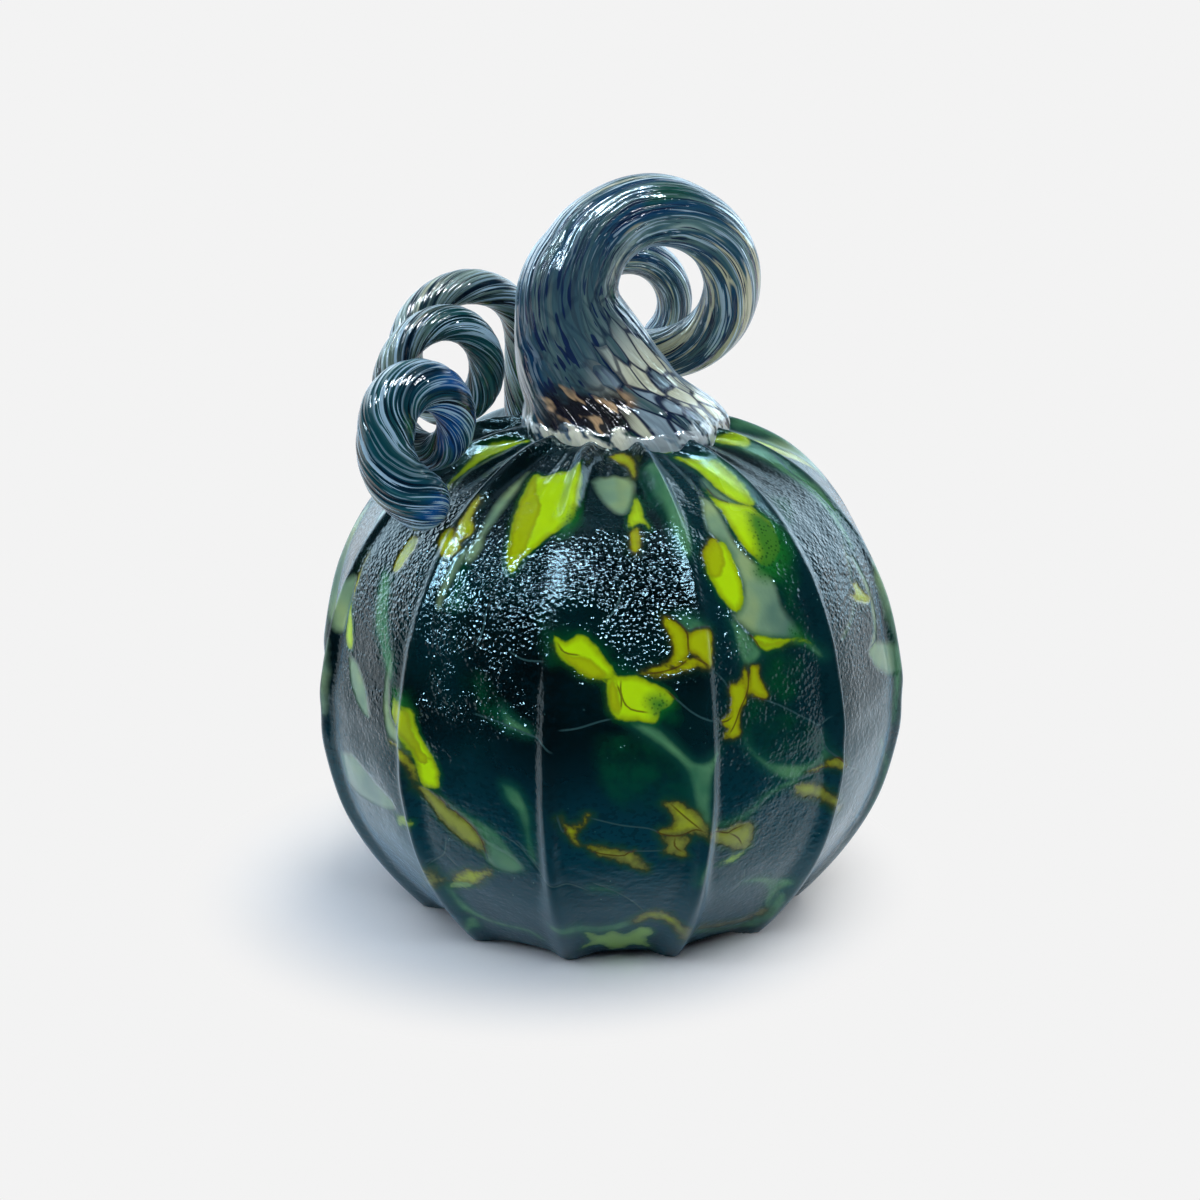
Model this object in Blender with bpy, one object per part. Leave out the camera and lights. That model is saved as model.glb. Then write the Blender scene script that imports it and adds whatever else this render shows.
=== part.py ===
# A blown-glass pumpkin: a hollow ribbed body, a curled stem and a coiled tendril, three
# pieces of glass joined hot.
# Metres, +Z up. The origin is under the middle of the body, on the surface it stands on,
# and the front of the pumpkin faces -Y.

import math

import bmesh
import bpy
import numpy as np

MM = 0.001

# Sizes of the body.
BODY_RADIUS = 62.0 * MM         # over the ribs, where the body is widest
BODY_HEIGHT = 102.8 * MM        # from the table to the crown beside the stem
FOOT_RADIUS = 41.0 * MM         # out to the edge of the flats under the ribs
WALL = 5.0 * MM                 # glass behind the deepest part of the grooves
PUSH_UP = 7.0 * MM              # how far the middle of the underside is pushed in
BASE_GLASS = 6.0 * MM           # glass over the push-up
BORE_RADIUS = 7.0 * MM          # the hole that the blowpipe left in the crown
RIB_COUNT = 12
RIB_HEIGHT = 2.2 * MM           # from the crest of a rib down to the panels beside it
RIB_HALF_WIDTH = 2.9 * MM       # half the width of a rib, where the body is widest
PANEL_HOLLOW = 0.7 * MM         # how much deeper the middle of a panel lies
FOOT_FLAT = 0.95 * MM           # glass that is ground away flat under each rib
RIBS_FULL = 0.65                # share of the foot's radius inside which the ribs fade out
FIRST_RIB_DEGREES = 18.8        # how far the first rib is turned right of the front

# Sizes of the stem.
FUSE_GAP = 0.3 * MM             # kept between two pieces of glass that meet
STEM_FOOT_RADIUS = 22.2 * MM    # half the foot's width from side to side
STEM_FOOT_DEPTH = 19.5 * MM     # half of it from front to back
STEM_X = 3.0 * MM               # the middle of the foot, right of the body's axis
STEM_Y = 0.6 * MM
NECK_RADIUS = 10.6 * MM         # where the neck turns into the curl
NECK_HEIGHT = 25.7 * MM         # from the crown up to the middle of the curl
NECK_LEAN = 11.2 * MM           # how far the neck leans left on its way up
RING_RADIUS = 16.8 * MM         # the large turn of the curl, at the middle of the glass
RING_TUBE = 6.0 * MM            # radius of the glass halfway round the large turn
TAIL_RADIUS = 10.3 * MM         # the small turn behind it
TAIL_DROP = 8.3 * MM            # how far the middle of the small turn lies below
TAIL_SHIFT = 4.7 * MM           # and to the left of the large one's
TAIL_TUBE = 4.1 * MM
TIP_TUBE = 3.6 * MM
CURL_BACK = 32.5 * MM           # from the neck back to the tip of the curl

# Sizes of the tendril.
TENDRIL_START_TUBE = 5.8 * MM   # radius of the glass where it was set down on the shoulder
TENDRIL_TUBE = 3.55 * MM        # and where it has thinned out
TENDRIL_X = -0.59032 * BODY_RADIUS  # the middle of the first loop, left of the body's axis
TENDRIL_Y = -0.45161 * BODY_RADIUS  # and in front of it
TENDRIL_SEAT = 7.6 * MM         # from the shoulder up to the middle of the glass set down on it
TENDRIL_RISE = 15.4 * MM        # from there up to the middle of the first loop
TENDRIL_HOLE = 0.8 * MM         # radius left open inside the first loop
TENDRIL_END_DEGREES = 38        # where the end comes down, from the left to the back
TENDRIL_END_ROOM = 1.2 * MM     # between the end and the foot of the stem

# How finely the shapes are cut.
RIB_COLUMNS = 6                 # columns of faces for each rib
HOLLOW_RINGS = 12               # rings of faces over the inside of the body
CURVE_STEPS = 2                 # rings of faces between two points of a path
CURL_STEP = 15                  # degrees between two points of the stem's curl
COIL_STEP = 30                  # degrees between two points of the tendril's coil
STEM_SIDES = 20
TENDRIL_SIDES = 12
DOME_TURNS = (30, 55, 75)       # degrees up the round end of a piece, a ring of faces at each

# Outline of the ribs' crests from the foot up to the crown, as shares of the body's radius
# and height.
OUTLINE = (
    (0.812, 0.105), (0.930, 0.231), (0.992, 0.368), (1.0, 0.45), (0.996, 0.520),
    (0.939, 0.668), (0.822, 0.805), (0.645, 0.917), (0.420, 0.984), (0.210, 1.0),
)

# Underside from the middle out to the flats, as shares of the foot's radius and the push-up,
# and the glass that is ground off the ribs there, as shares of the foot's radius and the flat.
UNDERSIDE = ((0.0, 1.0), (0.42, 0.82), (0.68, 0.36), (0.81, 0.08))
FLATS = ((0.88, 1.0), (0.985, 0.85))

# Under 1, this makes the hollow inside the body fuller than an ellipse.
HOLLOW_CURVE = 0.9

# The neck, from below the crown up to the curl: the lean and the rise so far, as shares of
# NECK_LEAN and NECK_HEIGHT, the radius of the glass from side to side, and how much of the
# foot's oval shape is left.
NECK = (
    (0.0, -0.15, STEM_FOOT_RADIUS, 1.0), (0.02, 0.0, STEM_FOOT_RADIUS * 0.985, 1.0),
    (0.13, 0.15, STEM_FOOT_RADIUS * 0.89, 1.0), (0.43, 0.32, NECK_RADIUS * 1.60, 0.8),
    (0.60, 0.48, NECK_RADIUS * 1.47, 0.5), (0.77, 0.64, NECK_RADIUS * 1.31, 0.2),
    (0.92, 0.80, NECK_RADIUS * 1.16, 0.0),
)

# The large turn of the curl and the small one behind it: the angle round the curl, how far
# back the glass has gone, as a share of CURL_BACK, the radius of the turn as a share of
# RING_RADIUS or TAIL_RADIUS, and the radius of the glass.
CURL = (
    (180, 0.0, 1.0, NECK_RADIUS), (150, 0.01, 0.94, NECK_RADIUS * 0.83),
    (120, 0.03, 0.97, NECK_RADIUS * 0.745), (90, 0.07, 1.0, RING_TUBE * 1.22),
    (60, 0.13, 1.0, RING_TUBE * 1.12), (0, 0.29, 1.0, RING_TUBE),
    (-60, 0.56, 1.03, RING_TUBE * 0.95), (-90, 0.70, 1.05, RING_TUBE * 0.91),
    (-120, 0.78, 1.04, RING_TUBE * 0.88), (-180, 0.86, 1.0, TAIL_TUBE * 1.12),
    (-240, 0.90, 1.0, TAIL_TUBE * 1.05), (-300, 0.93, 1.0, TAIL_TUBE),
    (-360, 0.97, 1.0, TAIL_TUBE * 0.94), (-405, 1.0, 1.0, TIP_TUBE),
)
TAIL_FROM = -40                 # the angle where the large turn starts to close in
TAIL_AT = -185                  # and where it has become the small one

# The tendril on its way up from the shoulder: how far left of the first loop's middle, as a
# share of the loop's radius, in front of it, as a share of TENDRIL_START_TUBE, and under it, as
# a share of TENDRIL_RISE.
START = ((0.0, 0.55, 1.0), (0.70, 0.74, 0.69), (1.0, 0.655, 0.364))

# The coil, a row to each quarter turn: the angle round it, how far the middle of the loop
# has moved right and back, as shares of the way to the stem, how far up and how large the
# loop is, as shares of the first loop's radius, and how much of the start's thickness is left.
COIL = (
    (180, 0.02, -0.06, -0.12, 1.00, 0.95), (90, 0.0, 0.0, 0.08, 1.00, 0.76),
    (0, 0.0, 0.09, -0.08, 1.02, 0.18), (-90, 0.12, 0.18, -0.20, 1.08, 0.06),
    (-180, 0.31, 0.25, 0.44, 1.38, 0.0), (-270, 0.41, 0.34, 0.98, 1.44, 0.0),
    (-360, 0.38, 0.43, 1.00, 1.42, 0.0), (-450, 0.54, 0.53, 0.94, 1.52, 0.0),
    (-540, 0.83, 0.65, 1.12, 1.66, 0.0), (-630, 1.0, 0.80, 1.18, 1.68, 0.0),
    (-720, 1.0, 1.0, 1.15, 1.64, 0.0),
)

# The end of the tendril on its way down: how far over the crown, as shares of TENDRIL_TUBE.
END = (1.8, 0.17, -1.1)


def curve_through(points, steps):
    """Points on a smooth curve that runs through the given ones, `steps` to each span."""
    given = np.asarray(points, float)
    given = np.vstack([2 * given[0] - given[1], given, 2 * given[-1] - given[-2]])
    found = []
    for before, start, end, after in zip(given, given[1:], given[2:], given[3:]):
        for step in range(steps):
            t = step / steps
            linear = end - before
            square = 2 * before - 5 * start + 4 * end - after
            cube = 3 * start - before - 3 * end + after
            found.append(0.5 * (2 * start + linear * t + square * t ** 2 + cube * t ** 3))
    found.append(given[-2])
    return np.array(found)


def ease(share):
    """A share from 0 to 1 that leaves 0 and reaches 1 gently."""
    share = min(max(share, 0.0), 1.0)
    return share * share * (3 - 2 * share)


def glass(name, colour, roughness, metallic):
    material = bpy.data.materials.new(name)
    material.use_nodes = True
    shader = material.node_tree.nodes["Principled BSDF"]
    shader.inputs["Base Color"].default_value = (*colour, 1.0)
    shader.inputs["Roughness"].default_value = roughness
    shader.inputs["Metallic"].default_value = metallic
    return material


def add_object(name, mesh_maker, material):
    """A new object whose closed mesh is filled in by mesh_maker."""
    mesh = bpy.data.meshes.new(name)
    shaper = bmesh.new()
    mesh_maker(shaper)
    bmesh.ops.recalc_face_normals(shaper, faces=shaper.faces)
    shaper.to_mesh(mesh)
    shaper.free()
    mesh.shade_smooth()
    mesh.materials.append(material)
    piece = bpy.data.objects.new(name, mesh)
    bpy.context.scene.collection.objects.link(piece)
    return piece


def crest_line():
    """Outline of the ribs' crests, from the middle of the underside to the crown."""
    underside = [(r * FOOT_RADIUS, h * PUSH_UP) for r, h in UNDERSIDE]
    side = [(r * BODY_RADIUS, h * BODY_HEIGHT) for r, h in OUTLINE]
    flat = [(r * FOOT_RADIUS, -h * FOOT_FLAT) for r, h in FLATS]
    return curve_through(underside + flat + side, CURVE_STEPS)


def outward(line):
    """The direction out of the glass at each point of the crest line."""
    along = np.gradient(line, axis=0)
    across = np.stack([along[:, 1], -along[:, 0]], axis=1)
    return across / np.linalg.norm(across, axis=1)[:, None]


def crest_height(radius):
    """Height of the ribs' crests over the table, this far from the axis, on the upper half."""
    upper = [point for point in crest_line() if point[1] > BODY_HEIGHT / 2]
    radii, heights = np.array(upper[::-1]).T
    return float(np.interp(radius, radii, heights))


def rib_depth(angle, radius):
    """How far the glass lies under the crest line, at this angle from the nearest rib."""
    period = 2 * math.pi / RIB_COUNT
    off = (angle + period / 2) % period - period / 2
    width = RIB_HALF_WIDTH / max(radius, BORE_RADIUS)
    ridge = 1 - math.exp(-(off / width) ** 2)
    hollow = math.sin(math.pi * off / period) ** 2
    fade = ease((radius - BORE_RADIUS) / (RIBS_FULL * FOOT_RADIUS - BORE_RADIUS))
    return (RIB_HEIGHT * ridge + PANEL_HOLLOW * hollow) * fade


def columns():
    """Angles of the columns round the body, drawn in towards the crest of each rib."""
    period = 2 * math.pi / RIB_COUNT
    for number in range(RIB_COUNT * RIB_COLUMNS):
        even = number * period / RIB_COLUMNS
        crowd = math.sin(2 * math.pi * even / period) * period / (4 * math.pi)
        yield even - crowd


def outer_rings(extra):
    """Rings of points over the outside of the body, `extra` outside of the glass."""
    line = crest_line()
    for (radius, height), (out_r, out_z) in zip(line[1:], outward(line)[1:]):
        ring = []
        for angle in columns():
            move = extra - rib_depth(angle, radius)
            place = radius + move * out_r
            level = max(height + move * out_z, -extra)
            turn = angle + math.radians(FIRST_RIB_DEGREES)
            ring.append((place * math.sin(turn), -place * math.cos(turn), level))
        yield ring


def inner_rings():
    """Rings of points over the inside of the wall, from the bore down to the floor."""
    floor = PUSH_UP + BASE_GLASS
    ceiling = BODY_HEIGHT - WALL
    reach = BODY_RADIUS - RIB_HEIGHT - PANEL_HOLLOW - WALL
    for bend in np.linspace(math.asin(BORE_RADIUS / reach), math.pi, HOLLOW_RINGS)[:-1]:
        radius = reach * math.sin(bend) ** HOLLOW_CURVE
        rise = math.copysign(abs(math.cos(bend)) ** HOLLOW_CURVE, math.cos(bend))
        level = (ceiling + floor + (ceiling - floor) * rise) / 2
        ring = []
        for angle in columns():
            turn = angle + math.radians(FIRST_RIB_DEGREES)
            ring.append((radius * math.sin(turn), -radius * math.cos(turn), level))
        yield ring


def lay_rings(shaper, rings, first_point=None, last_point=None):
    """Faces between rings of points, closed at the ends by a point or a flat face."""
    rows = [[shaper.verts.new(point) for point in ring] for ring in rings]
    for row, following in zip(rows, rows[1:]):
        for at in range(len(row)):
            beside = (at + 1) % len(row)
            shaper.faces.new((row[at], row[beside], following[beside]))
            shaper.faces.new((row[at], following[beside], following[at]))
    for row, point in ((rows[0], first_point), (rows[-1], last_point)):
        if point is None:
            shaper.faces.new(row)
            continue
        tip = shaper.verts.new(point)
        for at in range(len(row)):
            shaper.faces.new((row[at], row[(at + 1) % len(row)], tip))


def body_mesh(shaper):
    floor = PUSH_UP + BASE_GLASS
    rings = list(outer_rings(0.0)) + list(inner_rings())
    lay_rings(shaper, rings, (0, 0, PUSH_UP), (0, 0, floor))


def body_cutter_mesh(shaper):
    """The room that the body takes out of the glass that sits on it."""
    lay_rings(shaper, outer_rings(FUSE_GAP), (0, 0, PUSH_UP), (0, 0, BODY_HEIGHT + FUSE_GAP))


def tube_rings(path, sides, level=0):
    """Rings of points round a path whose rows are x, y, z, the radius and the depth of the glass.

    The first `level` rings lie flat, and the others square to the path. The depth is a share of
    the radius.
    """
    along = np.gradient(path[:, :3], axis=0)
    along[:level] = (0, 0, 1)
    along /= np.linalg.norm(along, axis=1)[:, None]
    side = np.array((1.0, 0.0, 0.0))
    for row, ahead in zip(path, along):
        side = side - ahead * side.dot(ahead)
        side /= np.linalg.norm(side)
        other = np.cross(ahead, side)
        ring = []
        for number in range(sides):
            turn = 2 * math.pi * number / sides
            across = side * math.cos(turn) + other * row[4] * math.sin(turn)
            ring.append(row[:3] + row[3] * across)
        yield ring


def round_end(path):
    """The path carried on by a short dome over its last ring."""
    ahead = path[-1, :3] - path[-2, :3]
    ahead /= np.linalg.norm(ahead)
    dome = []
    for turn in DOME_TURNS:
        angle = math.radians(turn)
        place = path[-1, :3] + ahead * path[-1, 3] * math.sin(angle)
        dome.append((*place, path[-1, 3] * math.cos(angle), path[-1, 4]))
    return np.vstack([path, dome])


def stem_path():
    """The neck up from the crown, then the curl, which turns right and steps back."""
    ring_x = STEM_X - NECK_LEAN + RING_RADIUS
    ring_z = BODY_HEIGHT + NECK_HEIGHT
    rows = []
    for lean, rise, radius, oval in NECK:
        depth = 1 - oval * (1 - STEM_FOOT_DEPTH / STEM_FOOT_RADIUS)
        rows.append((STEM_X - lean * NECK_LEAN, STEM_Y, BODY_HEIGHT + rise * NECK_HEIGHT,
                     radius, depth))
    angles, backs, draws, radii = np.array(CURL[::-1]).T
    for angle in range(CURL[0][0], CURL[-1][0] - 1, -CURL_STEP):
        small = ease((TAIL_FROM - angle) / (TAIL_FROM - TAIL_AT))
        radius = RING_RADIUS + (TAIL_RADIUS - RING_RADIUS) * small
        radius *= np.interp(angle, angles, draws)
        turn = math.radians(angle)
        rows.append((
            ring_x - TAIL_SHIFT * small + radius * math.cos(turn),
            STEM_Y + CURL_BACK * np.interp(angle, angles, backs),
            ring_z - TAIL_DROP * small + radius * math.sin(turn),
            np.interp(angle, angles, radii), 1.0,
        ))
    return curve_through(rows, CURVE_STEPS)


def stem_mesh(shaper):
    lay_rings(shaper, tube_rings(round_end(stem_path()), STEM_SIDES, len(NECK) * CURVE_STEPS))


def tendril_end():
    """The place beside the foot of the stem where the tendril comes down."""
    reach = STEM_FOOT_RADIUS + TENDRIL_TUBE + TENDRIL_END_ROOM
    turn = math.radians(TENDRIL_END_DEGREES)
    return STEM_X - reach * math.cos(turn), STEM_Y + reach * math.sin(turn)


def tendril_path():
    """Up from the left shoulder, round the coil and down beside the stem."""
    first_loop = TENDRIL_START_TUBE + TENDRIL_HOLE
    seat_y = TENDRIL_Y - START[0][1] * TENDRIL_START_TUBE
    middle_z = crest_height(math.hypot(TENDRIL_X, seat_y)) + TENDRIL_SEAT + TENDRIL_RISE
    rows = []
    for left, front, under in START:
        rows.append((TENDRIL_X - left * first_loop, TENDRIL_Y - front * TENDRIL_START_TUBE,
                     middle_z - under * TENDRIL_RISE, TENDRIL_START_TUBE, 1.0))
    end_x, end_y = tendril_end()
    way_right = end_x - COIL[-1][4] * first_loop - TENDRIL_X
    way_back = end_y - TENDRIL_Y
    for angle, right, back, up, loop, thick in curve_through(COIL, 90 // COIL_STEP):
        turn = math.radians(angle)
        rows.append((
            TENDRIL_X + right * way_right + loop * first_loop * math.cos(turn),
            TENDRIL_Y + back * way_back,
            middle_z + (up + loop * math.sin(turn)) * first_loop,
            TENDRIL_TUBE + thick * (TENDRIL_START_TUBE - TENDRIL_TUBE), 1.0,
        ))
    for over in END:
        rows.append((end_x, end_y, BODY_HEIGHT + over * TENDRIL_TUBE, TENDRIL_TUBE, 1.0))
    return curve_through(rows, CURVE_STEPS)


def tendril_mesh(shaper):
    whole = round_end(tendril_path()[::-1])[::-1]
    lay_rings(shaper, tube_rings(whole, TENDRIL_SIDES))


def seat_on(piece, cutter):
    """Cuts the foot of a piece to the shape of the glass it was set down on."""
    cut = piece.modifiers.new("seat", "BOOLEAN")
    cut.operation = "DIFFERENCE"
    cut.solver = "EXACT"
    cut.object = cutter


for old in list(bpy.data.objects):
    bpy.data.objects.remove(old)

body_glass = glass("body_glass", (0.02, 0.06, 0.06), 0.08, 0.0)
stem_glass = glass("stem_glass", (0.30, 0.38, 0.44), 0.10, 0.5)
tendril_glass = glass("tendril_glass", (0.10, 0.20, 0.28), 0.08, 0.2)

body = add_object("body", body_mesh, body_glass)
stem = add_object("stem", stem_mesh, stem_glass)
tendril = add_object("tendril", tendril_mesh, tendril_glass)

body_room = add_object("body_room", body_cutter_mesh, body_glass)
body_room.hide_render = True
body_room.display_type = "WIRE"
seat_on(stem, body_room)
seat_on(tendril, body_room)
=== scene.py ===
import math

import bpy
import numpy as np
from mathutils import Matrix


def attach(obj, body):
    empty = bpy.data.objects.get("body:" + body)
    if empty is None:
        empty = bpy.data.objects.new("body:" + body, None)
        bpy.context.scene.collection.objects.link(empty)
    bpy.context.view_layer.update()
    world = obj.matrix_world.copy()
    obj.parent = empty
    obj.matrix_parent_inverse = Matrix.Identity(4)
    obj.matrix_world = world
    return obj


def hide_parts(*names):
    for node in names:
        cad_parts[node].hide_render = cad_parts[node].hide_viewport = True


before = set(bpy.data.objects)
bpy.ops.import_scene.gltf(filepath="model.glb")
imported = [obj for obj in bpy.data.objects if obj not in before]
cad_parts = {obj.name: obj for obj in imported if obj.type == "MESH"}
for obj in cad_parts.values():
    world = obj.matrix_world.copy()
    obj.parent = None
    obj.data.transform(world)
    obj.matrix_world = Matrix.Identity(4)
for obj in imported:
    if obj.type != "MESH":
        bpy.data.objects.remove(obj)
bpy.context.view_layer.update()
MM = 0.001

# The body: a hollow gather of near-black teal glass, rolled in lime, mustard and sage chips,
# blown into a mould with twelve ribs and left with a fine leathery skin. The open crown is the
# mark of the blowpipe, and the ground feet of the ribs carry the weight.
BODY_RADIUS = 62.0 * MM
BODY_HEIGHT = 102.8 * MM
FOOT_RADIUS = 41.0 * MM
PUSH_UP = 7.0 * MM
WALL = 5.0 * MM
BASE_GLASS = 6.0 * MM
BORE_RADIUS = 7.0 * MM
RIB_COUNT = 12
RIB_HEIGHT = 2.2 * MM
RIB_HALF_WIDTH = 2.9 * MM
PANEL_HOLLOW = 0.7 * MM
FOOT_FLAT = 0.95 * MM
FIRST_RIB = math.radians(18.8)
OUTLINE = (
    (0.812, 0.105), (0.930, 0.231), (0.992, 0.368), (1.0, 0.45), (0.996, 0.520),
    (0.939, 0.668), (0.822, 0.805), (0.645, 0.917), (0.420, 0.984), (0.210, 1.0),
)
UNDERSIDE = ((0.0, 1.0), (0.42, 0.82), (0.68, 0.36), (0.81, 0.08))
FLATS = ((0.88, 1.0), (0.985, 0.85))
PLEAT_COUNT = 44
PLEAT_DEPTH = 0.45 * MM
PLEATS_FROM = 17.0 * MM
PLEATS_UNTIL = 44.0 * MM
RIBS_UNEVEN = 0.14
HOLLOW_ROUNDNESS = 0.9
OUTSIDE_ROWS = 208
INSIDE_ROWS = 24
BODY_COLUMNS = 396

# The body's colours. Those with several stops go from the thin or dark glass to the thick.
DEEP_GLASS = (
    (0.30, (0.0004, 0.0025, 0.0030)), (0.48, (0.0005, 0.0060, 0.0075)),
    (0.60, (0.0005, 0.014, 0.016)), (0.74, (0.0010, 0.018, 0.026)),
)
MIST_GLASS = ((0.30, (0.13, 0.26, 0.19)), (0.50, (0.23, 0.39, 0.24)), (0.70, (0.35, 0.50, 0.23)))
SAGE_GLASS = ((0.35, (0.045, 0.19, 0.095)), (0.65, (0.11, 0.31, 0.14)))
MUSTARD_GLASS = (
    (0.0, (0.14, 0.11, 0.003)), (0.35, (0.32, 0.32, 0.003)), (1.0, (0.46, 0.55, 0.003)),
)
LIME_GLASS = ((0.0, (0.10, 0.24, 0.006)), (0.30, (0.36, 0.52, 0.004)), (1.0, (0.55, 0.88, 0.004)))
TEAL_PANEL = (0.0012, 0.026, 0.034, 1)
LOW_TEAL_PAINTED_LIGHT = (0.0020, 0.054, 0.082, 1)
PIT_PAINTED_SHADE = (0.0004, 0.012, 0.018, 1)
BUBBLE_PALE = (0.07, 0.17, 0.16, 1)
HIGH_GREEN = (0.0008, 0.058, 0.022, 1)
LOW_GREEN = (0.0010, 0.040, 0.046, 1)
SAGE_HALO = (0.008, 0.095, 0.060, 1)
MUSTARD_DULLED = (0.21, 0.22, 0.075, 1)
MUSTARD_BY_FOOT = (0.13, 0.13, 0.065, 1)
MUSTARD_HALO = (0.014, 0.075, 0.020, 1)
MUSTARD_RIM = (0.060, 0.050, 0.006, 1)
LOW_LIME = (0.22, 0.40, 0.12, 1)
LIME_HALO = (0.003, 0.10, 0.014, 1)
FADED_GREEN = (0.010, 0.17, 0.022, 1)
FADED_GRAIN = (0.003, 0.05, 0.010, 1)
SEAM_IN_DARK = (0.035, 0.090, 0.095, 1)
SEAM_IN_CHIP = (0.085, 0.038, 0.006, 1)
PAINTED_SHEEN = (0.25, 0.37, 0.42, 1)

# The chips and the trails that they were drawn out into, and the seams where they meet. A row is
# the outline of a chip, or the line of a trail or a seam. Each point gives the turn from the
# front to the right in degrees, and the way down over the glass from the middle of the crown in
# millimetres. A trail's third number is half its width.
MIST_CHIPS = (
    ((77.5, 47.5), (76, 52.5), (75.5, 49), (75.5, 43.5), (75.5, 38), (75.5, 33), (74, 28.5),
     (73, 24.5)),
    ((-28.5, 112), (-26, 112.5), (-23, 114), (-20.5, 115), (-18.5, 116.5), (-17.5, 118.5),
     (-20, 120), (-23, 120), (-25, 118.5), (-27, 115)),
    ((-6, 31), (-2.5, 28.5), (4.5, 27.5), (9, 28.5), (10, 31), (8.5, 34.5), (6, 39), (3.5, 40),
     (0.5, 38), (-3, 34.5)),
    ((32.5, 36.5), (34.5, 39), (33.5, 44), (33, 48.5), (34, 52), (36, 55), (38.5, 58),
     (39, 61.5), (39, 65), (41, 69), (42.5, 72.5), (42, 73), (35, 71), (31, 69.5), (28.5, 67),
     (27, 65), (30.5, 61.5), (31, 56.5), (30, 53), (29, 50.5), (27.5, 47.5), (27.5, 44.5)),
    ((-69.5, 66.5), (-71.5, 70.5), (-70.5, 78), (-68.5, 78), (-67.5, 75.5), (-68, 71), (-68, 67)),
    ((-67, 105), (-61.5, 103), (-57, 104.5), (-53, 106.5), (-49, 108.5), (-47, 110.5),
     (-52, 112.5), (-58, 113), (-64, 112.5), (-67, 110.5)),
    ((-47.5, 76), (-47.5, 80.5), (-47, 85.5), (-45.5, 89.5), (-41.5, 92), (-39.5, 96),
     (-41, 95), (-45.5, 94), (-47.5, 89.5), (-48.5, 84.5), (-48.5, 80)),
    ((67.5, 81), (71.5, 81.5), (77.5, 84), (79, 86.5), (79, 90), (75, 90), (69.5, 86.5),
     (66, 82.5)),
    ((37, 32.5), (36.5, 34.5), (37, 38), (39, 40.5), (41.5, 42.5), (41, 40), (39.5, 36),
     (39.5, 32)),
    ((-35, 53), (-36, 56), (-36.5, 59.5), (-37, 63.5), (-37, 65.5), (-38, 65), (-38, 61),
     (-37.5, 56.5), (-36.5, 52.5)),
    ((-32, 51), (-33, 54), (-34.5, 55), (-35, 52.5), (-33.5, 49)),
    ((-34, 29), (-32.5, 34), (-32, 39), (-32, 44), (-32.5, 47.5), (-34, 50.5), (-34.5, 45.5),
     (-35, 40), (-35, 34)),
    ((29, 57), (30.5, 59.5), (30.5, 62.5), (29, 64.5), (27, 63), (27, 59.5)),
    ((-64, 82), (-60, 82.5), (-55.5, 86.5), (-53, 91.5), (-56, 91), (-61, 87)),
    ((98, 24), (102, 30), (107, 38), (109, 47), (106, 54), (102, 50), (99, 42), (97, 33)),
    ((-99, 58), (-95, 64), (-93, 74), (-95, 84), (-99, 88), (-102, 80), (-103, 68)),
)
SAGE_CHIPS = (
    ((15.5, 27.5), (19.5, 28.5), (20, 33.5), (20.5, 39), (21, 44), (21, 48.5), (19.5, 52),
     (18, 51), (17, 46.5), (16.5, 40.5), (15.5, 35)),
    ((14, 64.5), (15.5, 63.5), (17.5, 64.5), (19.5, 66), (20.5, 67), (18, 67), (16, 67),
     (15, 65.5)),
    ((-59, 62), (-58, 65.5), (-56.5, 70.5), (-54.5, 74), (-51.5, 77), (-49, 80), (-47, 82),
     (-47, 79), (-49, 75), (-51.5, 71), (-53.5, 66.5), (-56, 63)),
    ((4, 84.5), (6.5, 84.5), (9.5, 86), (11.5, 88), (13.5, 90.5), (15.5, 93), (17, 93.5),
     (18.5, 92.5), (20, 91), (20.5, 91.5), (19, 94.5), (18.5, 98.5), (18.5, 102.5),
     (19, 106.5), (18, 107), (17, 105), (16.5, 102), (16, 98), (15, 95), (13, 92),
     (10.5, 89.5), (7.5, 87)),
    ((26.5, 89.5), (27.5, 92.5), (30, 95.5), (32.5, 98), (35, 100), (38.5, 101.5), (41, 100.5),
     (44.5, 100), (46.5, 99), (47, 98), (46, 96.5), (45, 93.5), (45.5, 96.5), (44, 98.5),
     (39.5, 98.5), (34.5, 97), (31.5, 96), (28.5, 93.5)),
    ((-34, 104), (-31.5, 106), (-26.5, 108), (-22.5, 110), (-20.5, 113), (-18.5, 116),
     (-17.5, 118.5), (-20, 119.5), (-22.5, 120), (-24, 118), (-25, 114.5), (-26.5, 111),
     (-29, 108), (-32, 106)),
    ((-20, 98.5), (-17.5, 99), (-15.5, 102.5), (-15, 105.5), (-15, 109.5), (-14.5, 116),
     (-15.5, 114), (-16, 108.5), (-17, 104), (-19, 101.5)),
    ((31.5, 127), (36, 127), (43, 129.5), (46.5, 130), (45.5, 132), (44.5, 134.5), (44.5, 137),
     (45, 140), (42.5, 135), (39.5, 130.5), (35.5, 128.5)),
    ((-20.5, 82.5), (-18.5, 84.5), (-16, 86), (-14.5, 87), (-17.5, 86.5), (-19.5, 86)),
    ((-38, 140), (-36.5, 140), (-37, 143.5), (-39, 143), (-41.5, 145)),
    ((26, 65.5), (28, 67.5), (30, 69.5), (31.5, 72), (32, 73.5), (29.5, 75), (28, 75),
     (27, 72.5), (26.5, 69)),
    ((74.5, 28.5), (75, 33.5), (74.5, 38.5), (74.5, 44), (74.5, 48.5), (75.5, 54), (76.5, 55),
     (77, 49.5), (77, 44), (77, 38.5), (77.5, 34), (76, 29)),
    ((108.5, 27), (109, 30.5), (109, 34), (108.5, 38.5), (108.5, 42), (106.5, 36.5), (106, 31),
     (105.5, 27.5)),
)
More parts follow.
